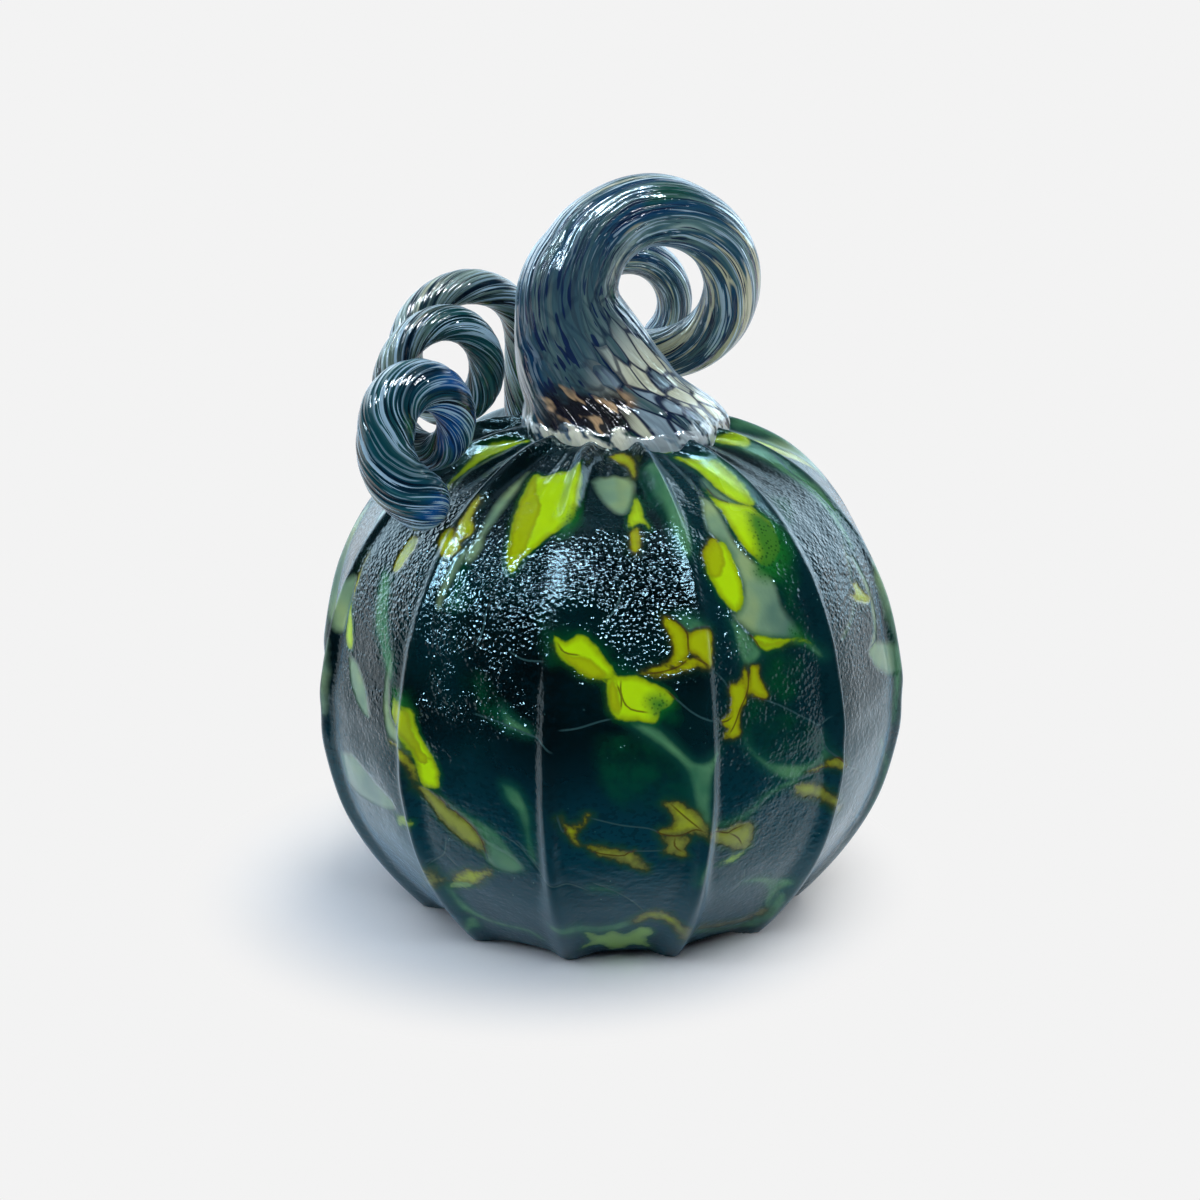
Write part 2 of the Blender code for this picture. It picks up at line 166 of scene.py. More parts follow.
GREEN_CHIPS = (
    ((-29.5, 78), (-26, 76.5), (-23.5, 79.5), (-20.5, 82), (-17.5, 85), (-15.5, 86.5),
     (-18.5, 86.5), (-21.5, 85.5), (-25, 84), (-26, 81.5)),
    ((46.5, 49.5), (48.5, 52.5), (48, 56.5), (45.5, 61), (43, 64.5), (43.5, 69), (44, 73.5),
     (41.5, 72.5), (39.5, 68.5), (39, 63.5), (39, 59), (43, 55.5), (45.5, 54)),
    ((-12, 47), (-9.5, 44), (-7.5, 40.5), (-7.5, 44.5), (-9.5, 48)),
    ((-34.5, 53.5), (-36, 56.5), (-36, 60), (-36.5, 63.5), (-36, 65), (-33.5, 65),
     (-31.5, 63.5), (-32, 61), (-33.5, 58.5), (-33.5, 55)),
    ((-46, 82.5), (-41, 83), (-40, 85.5), (-41.5, 86), (-45.5, 85.5)),
    ((-9.5, 66.5), (-6, 66.5), (-3, 67.5), (-0.5, 70.5), (-1.5, 70.5), (-4, 68.5), (-7.5, 68)),
    ((-13.5, 64.5), (-11.5, 67.5), (-11, 70.5), (-10, 73), (-11.5, 72.5), (-12.5, 70)),
    ((1, 73), (3, 72.5), (4.5, 75), (1.5, 75.5)),
    ((10, 80), (12, 80.5), (13.5, 82.5), (13, 84.5), (10, 84.5), (8, 85.5), (6, 84.5), (9, 83.5)),
    ((-1.5, 88), (2.5, 87), (8, 88.5), (13, 93), (15, 98), (16, 102.5), (12.5, 101), (8, 102),
     (3, 102.5), (-0.5, 98.5), (-2, 93)),
    ((28.5, 82.5), (33, 83.5), (38.5, 87.5), (43.5, 92), (45, 96), (41, 97.5), (34.5, 96.5),
     (30, 93.5), (27, 88.5), (27.5, 84.5)),
    ((32.5, 73.5), (37, 74), (42, 77), (40.5, 82.5), (36, 84.5), (33, 82), (32, 78.5)),
    ((-41, 120), (-37.5, 121.5), (-35.5, 125), (-38, 127)),
    ((55.5, 42.5), (51, 46), (50, 49.5), (59.5, 47), (61, 44)),
    ((14.5, 27.5), (15, 33), (15, 38), (13.5, 38), (13, 33), (12.5, 28)),
    ((66.5, 22.5), (69, 25), (73.5, 25), (73.5, 22), (70, 20.5)),
)
MUSTARD_CHIPS = (
    ((-28, 40.5), (-29.5, 34.5), (-30.5, 30.5), (-28, 31), (-25, 35), (-20.5, 39), (-19.5, 45),
     (-20, 50.5), (-21.5, 54.5), (-23.5, 54.5), (-25, 49)),
    ((-44, 49), (-45.5, 51), (-43, 54), (-40.5, 55), (-39.5, 55), (-38, 53.5), (-37.5, 52),
     (-39, 52), (-40.5, 51), (-41.5, 49.5)),
    ((-40.5, 41), (-40.5, 44), (-41, 46.5), (-40.5, 49), (-40, 51), (-39, 52), (-37.5, 50.5),
     (-36.5, 49), (-36.5, 47.5), (-38, 46.5), (-39, 45), (-39.5, 42.5), (-39.5, 41)),
    ((-55.5, 53), (-56.5, 54.5), (-56.5, 57), (-56.5, 59), (-56, 61), (-54.5, 61), (-53, 59),
     (-52.5, 57), (-52, 55), (-53, 53)),
    ((-10.5, 69.5), (-8.5, 70.5), (-6.5, 71), (-3.5, 71.5), (-1, 73.5), (0, 75), (-2, 75.5),
     (-4.5, 75), (-6.5, 73.5), (-9, 71.5)),
    ((0, 76.5), (1.5, 75.5), (2, 78.5), (2.5, 81.5), (2, 83), (1, 82.5), (0, 80)),
    ((27, 48.5), (23.5, 51), (23, 54), (23.5, 56.5), (25, 57), (26.5, 56.5), (28.5, 54),
     (29, 51), (28.5, 48.5)),
    ((6, 45.5), (7.5, 44), (8.5, 45.5), (8, 48.5), (6.5, 50.5), (5.5, 49)),
    ((11.5, 63.5), (13.5, 64.5), (15, 66), (16, 67.5), (16, 69.5), (16, 71.5), (14, 73),
     (11.5, 74), (8, 74.5), (6, 74.5), (9.5, 73.5), (12, 72.5), (13, 70.5), (12.5, 67.5),
     (11.5, 65)),
    ((16.5, 67.5), (18, 67), (21, 67.5), (20, 74.5), (18.5, 73), (17, 71.5), (16, 70.5),
     (16, 68.5)),
    ((16, 72.5), (17.5, 72.5), (19, 74.5), (17.5, 74), (15, 74.5), (13, 75), (10.5, 75.5),
     (7.5, 75), (10.5, 74.5), (14, 73.5)),
    ((1, 20.5), (7, 19), (12, 21), (13, 24.5), (11.5, 28.5), (10, 29), (10, 26), (8, 23),
     (3, 21.5)),
    ((65.5, 67), (65.5, 69), (62.5, 68.5), (67, 71.5), (72.5, 72.5), (69, 69.5), (67.5, 67)),
    ((30, 69.5), (31.5, 70.5), (35, 71.5), (39, 72), (42.5, 72.5), (38.5, 72.5), (34.5, 72.5),
     (32.5, 72)),
    ((28, 75), (27, 77), (26, 78.5), (24, 78.5), (24, 81.5), (23.5, 84), (21.5, 85.5),
     (23, 87), (22, 88.5), (24, 89), (25.5, 88.5), (25.5, 86.5), (26, 84), (27.5, 82), (28, 79)),
    ((29, 75.5), (31, 75.5), (31, 78), (32, 80.5), (32.5, 82.5), (30.5, 82), (28.5, 80.5)),
    ((-45, 86), (-40.5, 86), (-39.5, 88.5), (-38.5, 91.5), (-37, 95), (-35, 96), (-37, 97.5),
     (-38.5, 97), (-39.5, 95), (-41, 92), (-44.5, 90)),
    ((-46, 95), (-41, 95), (-39.5, 97), (-38.5, 99.5), (-38, 102), (-39, 101), (-40.5, 97.5),
     (-42.5, 96)),
    ((-39, 102.5), (-37, 102.5), (-34.5, 104), (-32, 106.5), (-29.5, 108), (-27, 110),
     (-25.5, 113.5), (-25.5, 116), (-28, 115), (-30.5, 113.5), (-32.5, 111.5), (-34.5, 109.5),
     (-36.5, 106), (-38, 104)),
    ((-37, 127.5), (-34, 124), (-30.5, 122.5), (-27, 121.5), (-24.5, 120.5), (-27, 123.5),
     (-30, 126.5), (-33, 127)),
    ((-43.5, 124), (-40, 123), (-39.5, 126), (-38, 127), (-41.5, 128), (-57.5, 139.5),
     (-40.5, 125)),
    ((-9, 104), (-7.5, 106.5), (-5.5, 106), (-4, 104), (-3.5, 104.5), (-5.5, 107), (-6.5, 109),
     (-5.5, 111), (-7, 109.5), (-8, 107)),
    ((-4, 111.5), (-1.5, 111.5), (2.5, 112.5), (5, 113.5), (6.5, 116), (8, 118), (6, 117.5),
     (3.5, 116), (0.5, 114.5), (-2, 113.5)),
    ((10.5, 101.5), (13, 101.5), (15.5, 103), (17, 104.5), (18.5, 107.5), (18, 108.5),
     (17, 108.5), (15, 109), (12.5, 109), (10.5, 109), (9.5, 108), (12, 107.5), (12.5, 105.5),
     (11.5, 103)),
    ((10.5, 109.5), (12.5, 109.5), (14, 110), (16.5, 108.5), (15.5, 111), (15, 113),
     (15.5, 115), (13.5, 114), (11, 113.5), (11.5, 112)),
    ((19.5, 108.5), (23, 109.5), (26, 109), (28.5, 109.5), (30, 111.5), (30, 114), (29.5, 116),
     (28, 116), (25, 114.5), (22, 112.5), (19.5, 109.5)),
    ((39, 103), (42.5, 103.5), (46, 105.5), (49, 108), (56.5, 114.5), (53, 113.5), (47, 108.5),
     (44.5, 107.5), (41, 106), (39.5, 105)),
    ((41.5, 100.5), (45, 100.5), (47.5, 99), (54, 103), (47.5, 100.5), (44.5, 101)),
    ((96, 33), (101, 37), (105, 44), (104, 50), (100, 46), (97, 40)),
)
LIME_CHIPS = (
    ((-12, 27), (-9.5, 31.5), (-9, 36), (-9, 40.5), (-10, 44), (-12.5, 46), (-15.5, 48),
     (-18, 50.5), (-20.5, 53), (-22, 56), (-24, 54), (-25.5, 48.5), (-27, 43), (-29, 37.5),
     (-30, 33), (-30.5, 30), (-25, 29), (-18, 27.5)),
    ((-67.5, 71), (-67.5, 74.5), (-67, 78), (-66, 80), (-64, 80.5), (-63, 79.5), (-64, 76.5),
     (-66.5, 73)),
    ((-10.5, 67.5), (-8.5, 68.5), (-6, 67), (-4, 67.5), (-2, 69.5), (-0.5, 71.5), (1, 73.5),
     (1, 75), (-1.5, 75.5), (-4.5, 75), (-6.5, 73.5), (-9, 72), (-10, 70.5)),
    ((-0.5, 75.5), (2.5, 75), (5.5, 75), (8.5, 76.5), (11, 78), (12.5, 80), (11.5, 81.5),
     (10, 82), (9, 84.5), (6, 84), (3, 84), (1, 83), (0, 80)),
    ((37, 22), (42, 24), (45, 27), (47, 30.5), (47, 34), (47, 38), (46.5, 41), (46, 43),
     (44.5, 43), (43, 42), (41, 39), (40, 36), (40, 32), (39.5, 28), (38, 24)),
    ((36.5, 34.5), (37, 38.5), (40.5, 41), (44.5, 43), (45, 45), (46, 47), (46, 51),
     (44.5, 54), (41.5, 56), (38.5, 56.5), (37, 54.5), (35, 51), (34.5, 46), (35, 42),
     (35, 38.5)),
    ((30.5, 49.5), (31, 52.5), (31, 55), (31, 59), (30, 62.5), (28, 64.5), (26, 63),
     (24.5, 60.5), (23.5, 57), (23, 54.5), (24.5, 52), (27.5, 49.5)),
    ((30, 69.5), (32.5, 72.5), (34.5, 73), (38.5, 72.5), (43, 73), (45, 74.5), (43, 72.5),
     (38, 71.5), (34.5, 70.5), (31.5, 69.5)),
    ((9.5, 34.5), (7, 39), (5.5, 42.5), (6, 44.5), (8, 43), (10, 43), (11.5, 45), (10.5, 41),
     (10.5, 37)),
    ((71.5, 21.5), (75.5, 24), (79.5, 27.5), (76.5, 30.5), (74, 27.5), (71.5, 24)),
    ((-45.5, 85.5), (-40, 86), (-39, 88.5), (-37.5, 91.5), (-35.5, 94.5), (-34, 97),
     (-33.5, 99.5), (-34, 102), (-36.5, 102.5), (-38, 101.5), (-38.5, 99), (-39.5, 95.5),
     (-41.5, 92), (-45, 89.5)),
    ((-47.5, 112.5), (-45, 112), (-40.5, 110.5), (-41.5, 112), (-47, 115)),
    ((-37, 128), (-33.5, 126.5), (-31, 126.5), (-33.5, 128.5), (-37, 129)),
    ((30, 116), (28.5, 117.5), (26.5, 119), (23, 118.5), (25.5, 117.5), (27.5, 117)),
    ((-5.5, 139), (-2, 141), (1, 139.5), (4.5, 141.5), (8.5, 138.5), (12, 140.5), (10.5, 144),
     (12.5, 148.5), (7, 147), (2.5, 151), (-2, 145.5), (-7, 145.5), (-4.5, 143)),
    ((28.5, 18.5), (38.5, 17.5), (40.5, 20.5), (35, 20)),
    ((88, 22), (93, 24), (99, 30), (103, 37), (101, 41), (95, 36), (90, 29)),
)
FADED = (
    ((7.5, 78.5), (10, 78.5), (12.5, 80), (13.5, 81.5), (11.5, 82.5), (9.5, 84), (8, 83.5),
     (7, 80.5)),
    ((41, 43), (46, 44.5), (48, 49), (48, 53), (46.5, 57), (41.5, 60), (36.5, 59.5),
     (34.5, 57), (37.5, 53), (39, 47.5)),
    ((-10, 40), (-8, 38), (-7.5, 43), (-10, 47), (-13, 48), (-12.5, 44.5)),
    ((-46, 83.5), (-41, 83.5), (-40, 85.5), (-41, 87), (-45, 86.5)),
    ((40, 68.5), (42.5, 70.5), (43.5, 73.5), (40.5, 72.5), (39, 70.5)),
)
MIST_TRAILS = (
    ((55, 75.5, 0.2), (62.5, 71.5, 0.3), (66.5, 64.5, 0.3), (70.5, 58.5, 0.2)),
    ((-59, 38.5, 0.4), (-61.5, 35, 0.5), (-62.5, 32.5, 0.3)),
    ((70.5, 62.5, 0.4), (72, 70.5, 0.8), (71, 78, 0.8), (67.5, 82, 0.6)),
    ((-71.5, 81.5, 0.6), (-70.5, 90, 0.5), (-70.5, 97, 0.3)),
)
SAGE_TRAILS = (
    ((43, 73, 0.4), (45, 75, 0.5), (46.5, 77, 0.3)),
    ((39, 102, 0.6), (35.5, 102.5, 0.5), (31.5, 104, 0.5), (29, 106.5, 0.6),
     (26.5, 107.5, 0.7), (24, 108, 0.6), (21, 108, 0.3)),
    ((-38, 129, 0.4), (-37.5, 134, 0.5), (-36, 138, 0.6), (-32.5, 140.5, 0.6),
     (-27, 141.5, 0.5), (-21, 141.5, 0.5), (-18.5, 143.5, 0.5)),
    ((22, 141.5, 1), (34, 147, 1.3), (43, 146.5, 1.3), (46, 142.5, 1.1), (46.5, 138.5, 0.9),
     (46, 134.5, 0.6)),
    ((-12.5, 135, 0.8), (-8.5, 136, 1.1), (-4, 138, 1.2), (1.5, 138, 1.1), (6.5, 135.5, 0.9)),
    ((-3.5, 123, 0.2), (-0.5, 123.5, 0.3), (1.5, 124.5, 0.2)),
    ((70.5, 103.5, 0.4), (77, 110, 0.4), (78.5, 117.5, 0.4), (78.5, 123.5, 0.3)),
    ((78.5, 78, 0.3), (78.5, 84, 0.4), (77.5, 92, 0.5), (77, 101, 0.4)),
    ((75.5, 36, 0.4), (75, 43, 0.8), (74.5, 52, 0.9), (73, 60.5, 0.6)),
    ((18.5, 121, 0.2), (19, 118.5, 0.4), (19.5, 116.5, 0.2)),
)
MUSTARD_TRAILS = (
    ((-57.5, 43, 0.2), (-59, 41, 0.5), (-61.5, 38, 0.5)),
    ((-68, 60.5, 0.2), (-68, 65, 0.3), (-67.5, 68.5, 0.3), (-67.5, 71, 0.3)),
    ((25, 141.5, 0.5), (32.5, 144, 0.7), (41, 144, 0.7), (45, 140.5, 0.5)),
    ((7, 135.5, 0.9), (9.5, 133.5, 1.2), (12, 133.5, 1.3), (15, 135, 1.3), (17.5, 136.5, 1.2),
     (22.5, 142.5, 0.9)),
)
LIME_TRAILS = (
    ((-59, 41, 0.3), (-62, 38, 0.6), (-64, 34.5, 0.8), (-65.5, 30.5, 0.9), (-66, 27, 0.9),
     (-64, 22, 0.7), (-59.5, 19, 0.4)),
)
SEAMS = (
    ((-46, 47), (-40, 49.5), (-38.5, 50.5), (-37.5, 49)),
    ((-10, 68.5), (-8.5, 70.5), (-5, 71)),
    ((2.5, 75.5), (2.5, 78.5), (4, 81.5), (8, 82.5)),
    ((1.5, 76), (2.5, 79), (2.5, 82)),
    ((11.5, 63), (14, 64.5), (16, 67), (16, 69.5), (16, 71.5)),
    ((16, 67), (18, 66.5), (21.5, 66.5)),
    ((16.5, 71.5), (18, 73), (20, 74.5)),
    ((16, 72), (14, 73.5), (10, 74.5), (6.5, 74.5)),
    ((28.5, 75), (28, 80), (26, 83.5), (24.5, 86.5), (23, 88.5)),
    ((20.5, 85.5), (23, 85.5), (24.5, 84.5)),
    ((11, 78), (13, 80), (15.5, 82.5), (17.5, 84), (20, 85)),
    ((20, 74.5), (22.5, 77), (24, 79.5)),
    ((30, 82), (35, 84.5), (39.5, 87.5), (42.5, 89.5), (44.5, 91), (47.5, 89.5)),
    ((44.5, 91.5), (45.5, 94.5), (47, 97.5), (52.5, 102.5), (66, 109.5)),
    ((-9.5, 86), (-6, 85.5), (-1.5, 84), (1, 83.5)),
    ((-3.5, 104.5), (2.5, 106.5), (8, 107.5), (10.5, 109), (14, 109.5), (17, 108), (18.5, 108)),
    ((13, 109.5), (13, 112), (15, 114)),
    ((11.5, 101.5), (14.5, 105), (16.5, 107), (18, 108)),
    ((18.5, 108), (23.5, 110.5), (25, 110), (27.5, 109.5)),
    ((24, 110.5), (26.5, 112.5), (28, 115)),
    ((-3.5, 112.5), (-0.5, 113.5), (3, 114), (4.5, 113), (8, 113), (11, 113)),
    ((-3.5, 121), (0.5, 123.5), (5, 127.5), (8.5, 132)),
    ((-26.5, 84.5), (-21, 85.5), (-15.5, 87), (-12.5, 88), (-10, 90.5)),
    ((-34.5, 104), (-30, 107.5), (-26, 112), (-25, 118.5)),
    ((-21.5, 110), (-17.5, 112.5), (-15, 116), (-12, 120), (-7.5, 121.5), (-3.5, 124)),
    ((-34, 114), (-35.5, 118.5), (-38.5, 121), (-40.5, 122)),
    ((-35.5, 118.5), (-33, 122)),
    ((28.5, 130.5), (31.5, 127)),
    ((31.5, 126.5), (30.5, 122.5)),
    ((39, 102), (42.5, 101.5), (47.5, 100.5)),
    ((-20, 71), (-16.5, 72.5), (-12, 72.5)),
    ((-26, 63.5), (-26, 67.5), (-27, 71.5)),
    ((-4, 104), (-3.5, 104.5)),
    ((-7.5, 106.5), (-8.5, 108), (-9.5, 103.5)),
    ((-0.5, 64.5), (2, 61), (3, 57.5)),
    ((28, 67), (31, 70.5), (32, 73)),
    ((64, 66.5), (64, 70.5), (69, 76.5), (70.5, 80.5), (64.5, 81.5)),
    ((37.5, 31), (37, 37), (39.5, 41)),
    ((46, 43), (47.5, 48.5), (53, 54.5), (58, 58.5)),
    ((78, 34), (75.5, 43), (76, 52), (78, 61), (79, 67.5)),
    ((30.5, 82), (28, 82)),
)


def curve_through(points, steps):
    """Points on a smooth curve that runs through the given ones, `steps` to each span."""
    given = np.asarray(points, float)
    given = np.vstack([2 * given[0] - given[1], given, 2 * given[-1] - given[-2]])
    found = []
    for before, start, end, after in zip(given, given[1:], given[2:], given[3:]):
        for step in range(steps):
            t = step / steps
            linear = end - before
            square = 2 * before - 5 * start + 4 * end - after
            cube = 3 * start - before - 3 * end + after
            found.append(0.5 * (2 * start + linear * t + square * t ** 2 + cube * t ** 3))
    found.append(given[-2])
    return np.array(found)


def along_path(rows):
    """The length of a path up to each of its points."""
    steps = np.linalg.norm(np.diff(rows, axis=0), axis=1)
    return np.concatenate([[0.0], np.cumsum(steps)])


def spaced(rows, count, place_columns):
    """The path again, with `count` points at even distances."""
    length = along_path(rows[:, :place_columns])
    places = np.linspace(0, length[-1], count)
    return np.stack([np.interp(places, length, column) for column in rows.T], axis=1)


def ease(share):
    share = np.clip(share, 0.0, 1.0)
    return share * share * (3 - 2 * share)


def rolled_sheet(name, columns, rows):
    """A flat grid, to be bent round into a piece: it has one column more than it needs.

    Gives the object with the row and the angle of each of its points.
    """
    bpy.ops.object.select_all(action="DESELECT")
    bpy.ops.mesh.primitive_grid_add(x_subdivisions=columns, y_subdivisions=rows - 1, size=2.0)
    piece = bpy.context.object
    piece.name = name
    piece.data.name = name
    places = np.empty(len(piece.data.vertices) * 3)
    piece.data.vertices.foreach_get("co", places)
    x, y, _ = places.reshape(-1, 3).T
    row = np.rint((y + 1) / 2 * (rows - 1)).astype(int)
    column = np.rint((x + 1) / 2 * columns).astype(int) % columns
    return piece, row, column * 2 * math.pi / columns


def place_points(piece, places):
    piece.data.vertices.foreach_set("co", np.ascontiguousarray(places, np.float32).ravel())
    piece.data.update()


def close_up(piece):
    """Merges the seam and the poles of a bent sheet, and turns its faces outwards."""
    bpy.ops.object.select_all(action="DESELECT")
    piece.select_set(True)
    bpy.context.view_layer.objects.active = piece
    bpy.ops.object.mode_set(mode="EDIT")
    bpy.ops.mesh.select_all(action="SELECT")
    bpy.ops.mesh.remove_doubles(threshold=0.002 * MM)
    bpy.ops.mesh.normals_make_consistent(inside=False)
    bpy.ops.object.mode_set(mode="OBJECT")
    piece.data.shade_smooth()


def paint(piece, name, values):
    """Keeps a number or a vector for each point, for the material to read."""
    values = np.asarray(values, np.float32)
    if values.ndim == 1:
        layer = piece.data.attributes.new(name, "FLOAT", "POINT")
        layer.data.foreach_set("value", values)
    else:
        layer = piece.data.attributes.new(name, "FLOAT_VECTOR", "POINT")
        layer.data.foreach_set("vector", np.ascontiguousarray(values).ravel())


def rib_depth(turn, radius, down, top):
    """How far the skin lies under the line over the ribs' crests."""
    period = 2 * math.pi / RIB_COUNT
    waver = 0.12 * np.sin(3 * turn + 1.0) + 0.08 * np.sin(5 * turn + down / (19 * MM))
    off = (turn + period / 2) % period - period / 2
    upper = ease((radius / BODY_RADIUS - 0.55) / 0.2) * ease((85 - down / MM) / 25) * top
    lost = ease((np.cos(turn + period) - 0.93) / 0.05)
    slim = 1 - 0.45 * upper - 0.42 * ease((135 - down / MM) / 20) * (1 - upper)
    width = RIB_HALF_WIDTH * slim / np.maximum(radius, BORE_RADIUS)
    ridge = 1 - np.exp(-np.abs(off / width) ** 2.2)
    panel = np.sin(math.pi * off / period) ** 2
    fade = ease((radius - BORE_RADIUS) / (0.65 * FOOT_RADIUS - BORE_RADIUS))
    flatter = 1 - (0.6 + 0.35 * lost) * upper
    depth = (RIB_HEIGHT * (1 + waver) * flatter * ridge + PANEL_HOLLOW * panel) * fade
    pleats = ease((radius - PLEATS_FROM) / (8 * MM))
    pleats = pleats * ease((PLEATS_UNTIL - radius) / (16 * MM)) * top
    fold = 0.5 + 0.5 * np.sin(PLEAT_COUNT * turn + 2.2 * np.sin(3 * turn))
    return depth + PLEAT_DEPTH * pleats * fold * ridge


underside = [(r * FOOT_RADIUS, h * PUSH_UP) for r, h in UNDERSIDE]
flats = [(r * FOOT_RADIUS, -h * FOOT_FLAT) for r, h in FLATS]
side = [(r * BODY_RADIUS, h * BODY_HEIGHT) for r, h in OUTLINE]
crest = curve_through(underside + flats + side, 16)[::-1]
crest = np.vstack([(BORE_RADIUS + 1 * MM, BODY_HEIGHT), crest])
crest = spaced(crest, OUTSIDE_ROWS, 2)
crest_along = np.gradient(crest, axis=0)
crest_out = np.stack([-crest_along[:, 1], crest_along[:, 0]], axis=1)
crest_out /= np.linalg.norm(crest_out, axis=1)[:, None]
crest_down = along_path(crest) + crest[0, 0]

ceiling = BODY_HEIGHT - WALL
floor_level = PUSH_UP + BASE_GLASS
reach = BODY_RADIUS - RIB_HEIGHT - PANEL_HOLLOW - WALL
bend = np.linspace(math.pi, math.asin(BORE_RADIUS / reach), INSIDE_ROWS)
hollow_rise = np.sign(np.cos(bend)) * np.abs(np.cos(bend)) ** HOLLOW_ROUNDNESS
hollow = np.stack([
    reach * np.sin(bend) ** HOLLOW_ROUNDNESS,
    (ceiling + floor_level) / 2 + (ceiling - floor_level) / 2 * hollow_rise,
], axis=1)
hollow[0, 0] = 0.0

body, row, angle = rolled_sheet("body_skin", BODY_COLUMNS, OUTSIDE_ROWS + INSIDE_ROWS)
outside = row >= INSIDE_ROWS
ring = np.where(outside, row - INSIDE_ROWS, 0)
inner = np.where(outside, 0, row)

period = 2 * math.pi / RIB_COUNT
turn = angle - RIBS_UNEVEN * period / math.pi * np.sin(2 * math.pi * angle / period)
radius = crest[ring, 0]
height = crest[ring, 1]
down = crest_down[ring]
top = height > BODY_HEIGHT / 2
depth = rib_depth(turn, radius, down, top)
azimuth = turn + FIRST_RIB
out_r = crest_out[ring, 0]
out_z = crest_out[ring, 1]
skin_radius = np.where(outside, radius - depth * out_r, hollow[inner, 0])
skin_height = np.where(outside, np.maximum(height - depth * out_z, 0.0), hollow[inner, 1])
skin_radius[row == OUTSIDE_ROWS + INSIDE_ROWS - 1] = 0.0
place_points(body, np.stack([
    skin_radius * np.sin(azimuth), -skin_radius * np.cos(azimuth), skin_height,
], axis=1))

CHIP_ROOM = 9.0
SEAM_ROOM = 6.0
SEAM_HALF = 4.0
SEAM_TAPER = 1.5


def near(turns, downs, room):
    """The points of the skin near some places on it, and their steps from each place."""
    middle = (min(downs) + max(downs)) / 2
    tall = room + (max(downs) - min(downs)) / 2
    close = np.flatnonzero(outside & (np.abs(down / MM - middle) < tall))
    centre = math.radians((min(turns) + max(turns)) / 2)
    away = (azimuth[close] - centre + math.pi) % (2 * math.pi) - math.pi
    wide = room + math.radians(max(turns) - min(turns)) / 2 * BODY_RADIUS / MM
    within = np.abs(away) * radius[close] / MM < wide
    close, away = close[within], away[within]
    step_x = (np.radians(turns)[None, :] - centre - away[:, None]) * radius[close, None] / MM
    step_y = np.array(downs)[None, :] - down[close, None] / MM
    return close, step_x, step_y


def to_line(step_x, step_y):
    """How far each point is from each piece of a line, how far along it, and on which side."""
    x, y = step_x[:, :-1], step_y[:, :-1]
    way_x, way_y = step_x[:, 1:] - x, step_y[:, 1:] - y
    share = np.clip(-(x * way_x + y * way_y) / (way_x ** 2 + way_y ** 2 + 1e-9), 0, 1)
    side = np.where(way_x * y - way_y * x >= 0, 1.0, -1.0)
    return np.hypot(x + share * way_x, y + share * way_y), share, side


def deep_in(chips, trails):
    """How far inside a chip or a trail each point of the skin lies, in millimetres."""
    inside = np.full(len(azimuth), -CHIP_ROOM)
    for chip in chips:
        turns, downs = curve_through([*chip, chip[0]], 3).T
        close, step_x, step_y = near(turns, downs, CHIP_ROOM)
        away = to_line(step_x, step_y)[0].min(axis=1)
        above = step_y > 0
        crosses = above[:, 1:] != above[:, :-1]
        slope = (step_x[:, 1:] - step_x[:, :-1]) / np.where(crosses, np.diff(step_y, axis=1), 1)
        right = step_x[:, :-1] - step_y[:, :-1] * slope > 0
        within = (crosses & right).sum(axis=1) % 2 == 1
        inside[close] = np.maximum(inside[close], np.where(within, away, -away))
    for trail in trails:
        turns, downs, halves = curve_through(trail, 4).T
        close, step_x, step_y = near(turns, downs, CHIP_ROOM)
        away, share, _ = to_line(step_x, step_y)
        half = halves[:-1] + share * np.diff(halves)
        inside[close] = np.maximum(inside[close], (half - away).max(axis=1))
    return inside


def round_the_back(rows):
    """The rows of the front, and the same ones turned half round for the back."""
    back = [[(180 + point[0], point[1] + 2, *point[2:]) for point in row] for row in rows]
    return [*rows, *back]


